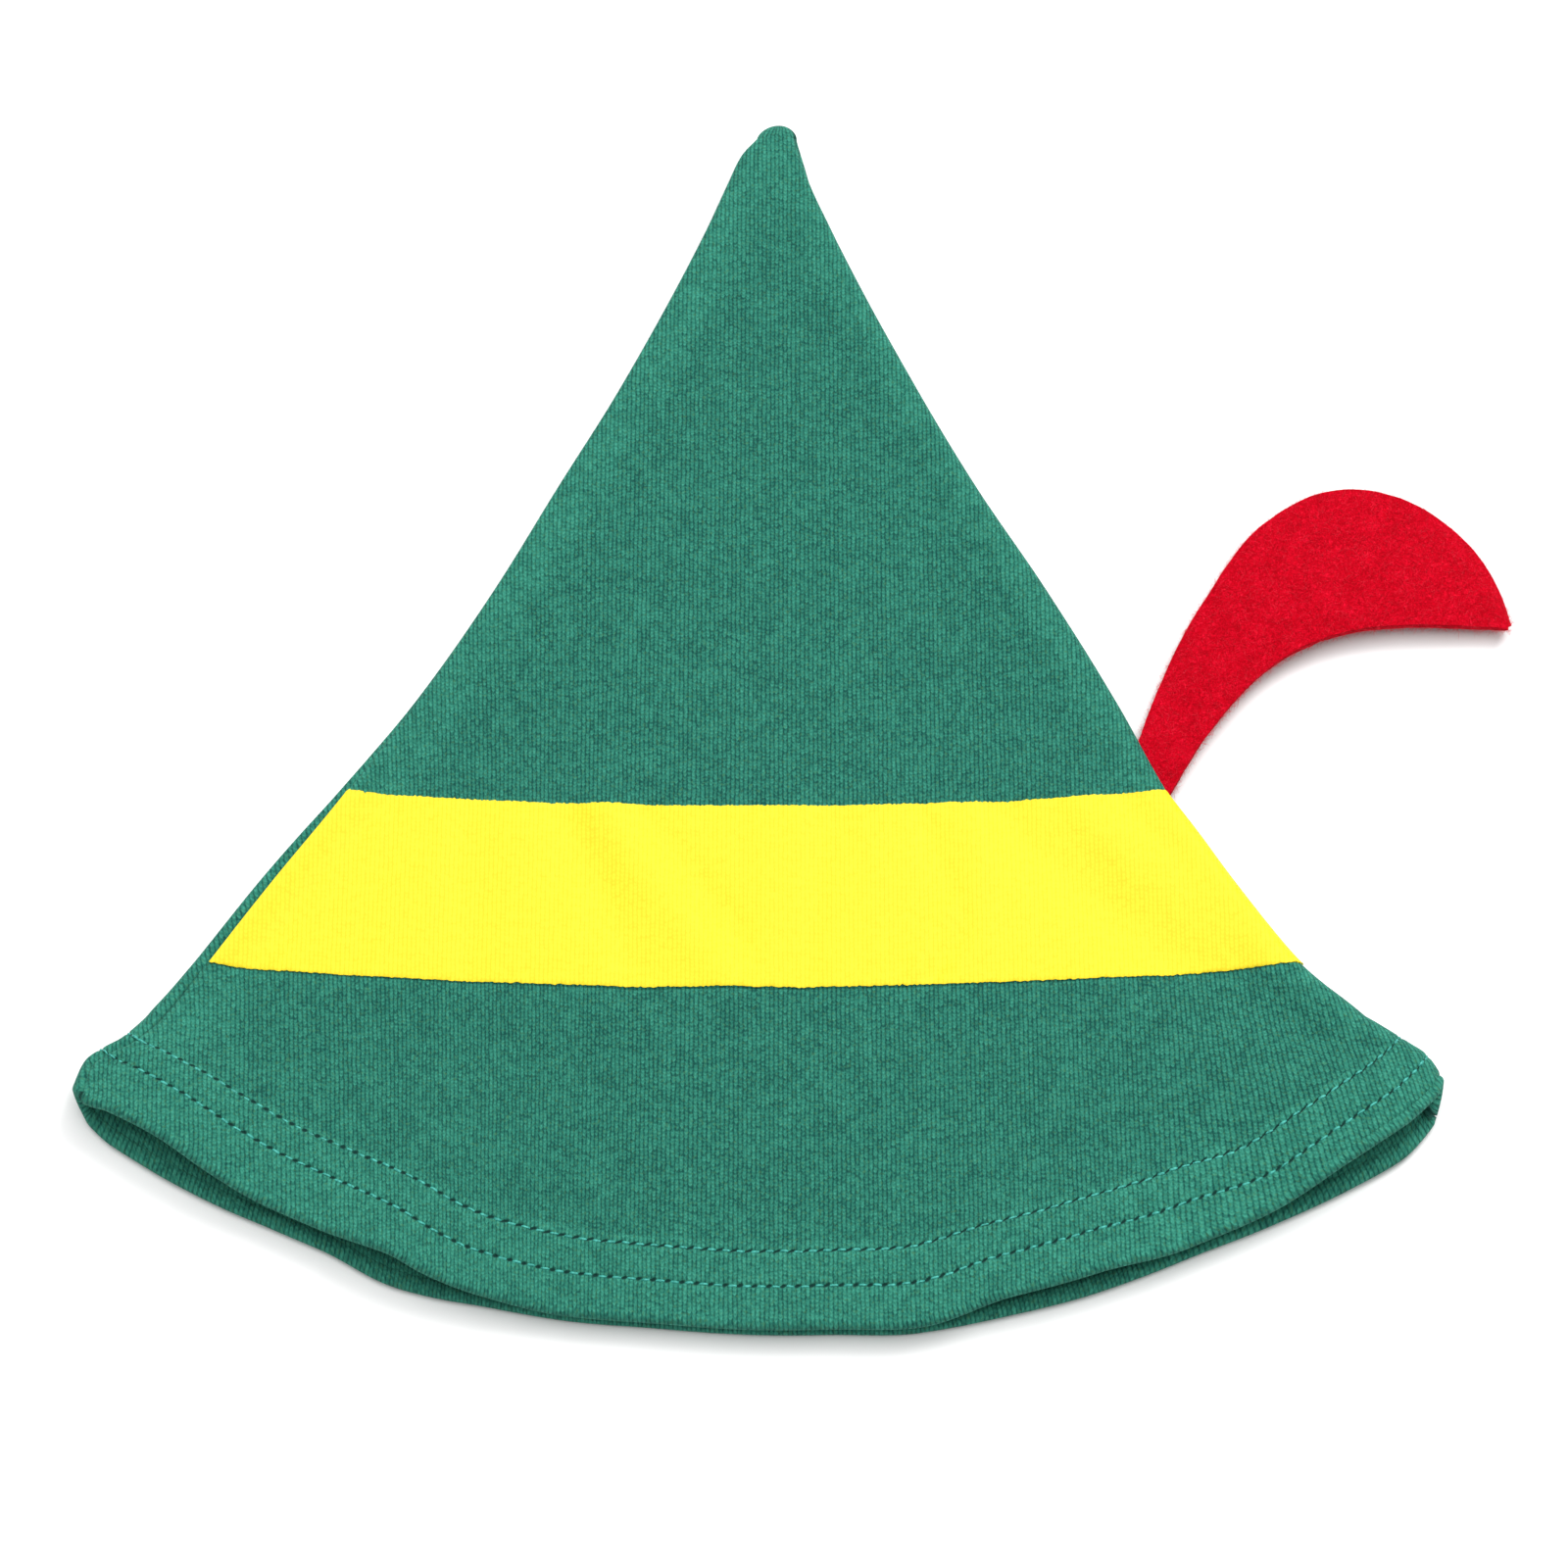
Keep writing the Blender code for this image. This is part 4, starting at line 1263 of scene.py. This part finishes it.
@dataclass
class HemStitching:
    """The visible threads of the twin-needle coverstitch along one panel's hem."""

    side: Side
    cloth: Cloth
    length: float = 1.85
    width: float = 0.46
    height: float = 0.36
    sink: float = 0.22
    skips: tuple[float, float] = (0.0, 0.0)

    def stitch(self) -> tuple[np.ndarray, np.ndarray]:
        """One stitch along x, as points in millimetres and four-cornered faces."""
        bpy.ops.object.select_all(action="DESELECT")
        bpy.ops.mesh.primitive_uv_sphere_add(segments=8, ring_count=8, radius=0.5)
        model = bpy.context.active_object
        bpy.ops.object.mode_set(mode="EDIT")
        bpy.ops.mesh.select_all(action="SELECT")
        bpy.ops.transform.rotate(value=math.pi / 2, orient_axis="Y", center_override=(0, 0, 0))
        bpy.ops.mesh.quads_convert_to_tris()
        bpy.ops.object.mode_set(mode="OBJECT")
        spots = np.array([vertex.co for vertex in model.data.vertices])
        faces = np.array([tuple(face.vertices) for face in model.data.polygons])
        bpy.data.objects.remove(model, do_unlink=True)
        spots[:, 0] = np.sign(spots[:, 0]) * (np.abs(spots[:, 0]) * 2) ** 0.75 / 2
        spots *= (self.length, self.width, self.height)
        spots[:, 2] += 0.12 - self.sink * 2.2 * (spots[:, 0] / self.length * 2) ** 4
        return spots, faces

    def seats(self, row: float, skip: float) -> tuple[np.ndarray, np.ndarray, np.ndarray]:
        """Where the stitches of one row lie: their middles, their ways along the row and their normals."""
        ring = Ring(HAT.last_station - row)
        start, end = ring.ends(self.side)
        numbers = np.arange(math.ceil(skip / HEM_SIZES.pitch), int((end - start) / HEM_SIZES.pitch)) + 0.5
        rises = row_rise(ring.across_at(start + numbers * HEM_SIZES.pitch))
        points, normals = [], []
        for number, rise in zip(numbers, rises):

            def middle(loop: Ring, number: float = number) -> np.ndarray:
                """The stitch's place along a ring's loop."""
                return np.array([loop.ends(self.side)[0] + number * HEM_SIZES.pitch])

            seat = self.cloth.row(self.side, ring.row.centre - HAT.nose_radius - rise, middle)
            points.append(seat.points[0])
            normals.append(seat.normal[0])
        ahead = np.gradient(np.array(points), axis=0)
        return np.array(points), ahead / np.linalg.norm(ahead, axis=1, keepdims=True), np.array(normals)

    def build(self) -> bpy.types.Object:
        """Both rows of stitches as one mesh."""
        rng = np.random.default_rng(41 if self.side is Side.FRONT else 42)
        template, faces = self.stitch()
        spots, corners = [], []
        for row, skip in zip(HEM_SIZES.rows, self.skips):
            for middle, ahead, normal in zip(*self.seats(row, skip)):
                aside = np.cross(normal, ahead)
                yaw = rng.normal(0, 0.05)
                local = template * (rng.uniform(0.92, 1.06), rng.uniform(0.9, 1.1), 1.0)
                x = local[:, 0] * math.cos(yaw) - local[:, 1] * math.sin(yaw)
                y = local[:, 0] * math.sin(yaw) + local[:, 1] * math.cos(yaw) + rng.normal(0, 0.05)
                corners.append(faces + len(template) * len(spots))
                spots.append(middle + np.outer(x, ahead) + np.outer(y, aside) + np.outer(local[:, 2], normal))
        name = self.side.value + "_stitches"
        data = bpy.data.meshes.new(name)
        data.from_pydata(to_metres(np.concatenate(spots)).tolist(), [], np.concatenate(corners).tolist())
        item = bpy.data.objects.new(name, data)
        bpy.context.scene.collection.objects.link(item)
        only(item)
        bpy.ops.object.mode_set(mode="EDIT")
        bpy.ops.mesh.select_all(action="SELECT")
        bpy.ops.mesh.normals_make_consistent(inside=False)
        bpy.ops.object.mode_set(mode="OBJECT")
        keep_above_floor(item)
        return item


@dataclass
class Studio:
    """The white floor, the soft light and the camera at the photograph's angle. Lengths in metres."""

    elevation: float = 68.0
    target: tuple[float, float, float] = (-0.0039, -0.0166, 0.0)
    distance: float = 0.8142
    lens: float = 101.25
    sensor: float = 36.0
    floor_drop: float = 0.0002

    def camera(self) -> None:
        """A camera above the hem's side, looking towards the tip."""
        tilt = math.radians(self.elevation)
        x, y, z = self.target
        place = (x, y - self.distance * math.cos(tilt), z + self.distance * math.sin(tilt))
        bpy.ops.object.camera_add(location=place, rotation=(math.pi / 2 - tilt, 0, 0))
        camera = bpy.context.active_object
        camera.data.lens = self.lens
        camera.data.sensor_width = self.sensor
        camera.data.clip_start = 0.01
        camera.data.clip_end = 50.0
        bpy.context.scene.camera = camera

    def floor(self) -> None:
        """A white floor, just below the hat's underside."""
        bpy.ops.object.select_all(action="DESELECT")
        bpy.ops.mesh.primitive_plane_add(size=12.0, location=(0, 0, -self.floor_drop))
        item = bpy.context.active_object
        item.name = "floor"
        graph = Graph("white_floor")
        item.data.materials.append(graph.finish((0.86, 0.86, 0.86), 0.8, Specular_IOR_Level=0.1))

    def light(self, place: tuple[float, float, float], size: float, power: float) -> None:
        """A square soft light that points at the hat."""
        bpy.ops.object.light_add(type="AREA", location=place)
        lamp = bpy.context.active_object
        lamp.data.size = size
        lamp.data.energy = power
        x, y, z = place
        lamp.rotation_euler = (math.atan2(math.hypot(x, y), z), 0, math.atan2(x, -y))

    def build(self) -> None:
        """Floor, lights, world and camera."""
        self.floor()
        self.light((0.0, 0.35, 1.7), 2.2, 40.0)
        self.light((0.75, 0.85, 1.35), 0.7, 15.0)
        world = bpy.data.worlds.new("studio")
        world.use_nodes = True
        world.node_tree.nodes["Background"].inputs["Color"].default_value = (1.0, 1.0, 1.0, 1.0)
        world.node_tree.nodes["Background"].inputs["Strength"].default_value = 0.40
        bpy.context.scene.world = world
        bpy.context.scene.view_settings.view_transform = "Standard"
        self.camera()


def main() -> None:
    """Build the hat's pieces in order, then the studio."""
    logging.basicConfig(level=logging.INFO)
    cloth = Cloth()
    knit = KnitFinish().material()
    thread = StrandFinish("cyan_thread", (0.015, 0.21, 0.17), (0.06, 0.42, 0.35), 0.45).material()
    panels = {}
    for side in Side:
        panels[side] = Panel(side, cloth).build()
        dress(panels[side], knit, "green_knit", side.value)
    band = Band(cloth).build()
    dress(band, FilmFinish().material(), "yellow_film", "band")
    feather = Feather()
    felt = feather.build()
    dress(felt, FeltFinish().material(), "red_felt", "feather")
    nap = feather.nap(felt)
    dress(nap, StrandFinish("red_fibre", (0.50, 0.001, 0.010), (0.85, 0.020, 0.055), 0.8).material(), "red_felt")
    sewing = {}
    for side, skips in ((Side.FRONT, (6.0, 0.0)), (Side.BACK, (0.0, 0.0))):
        sewing[side] = HemStitching(side, cloth, skips=skips).build()
        dress(sewing[side], thread, "green_knit")
    Studio().build()


if __name__ == "__main__":
    main()
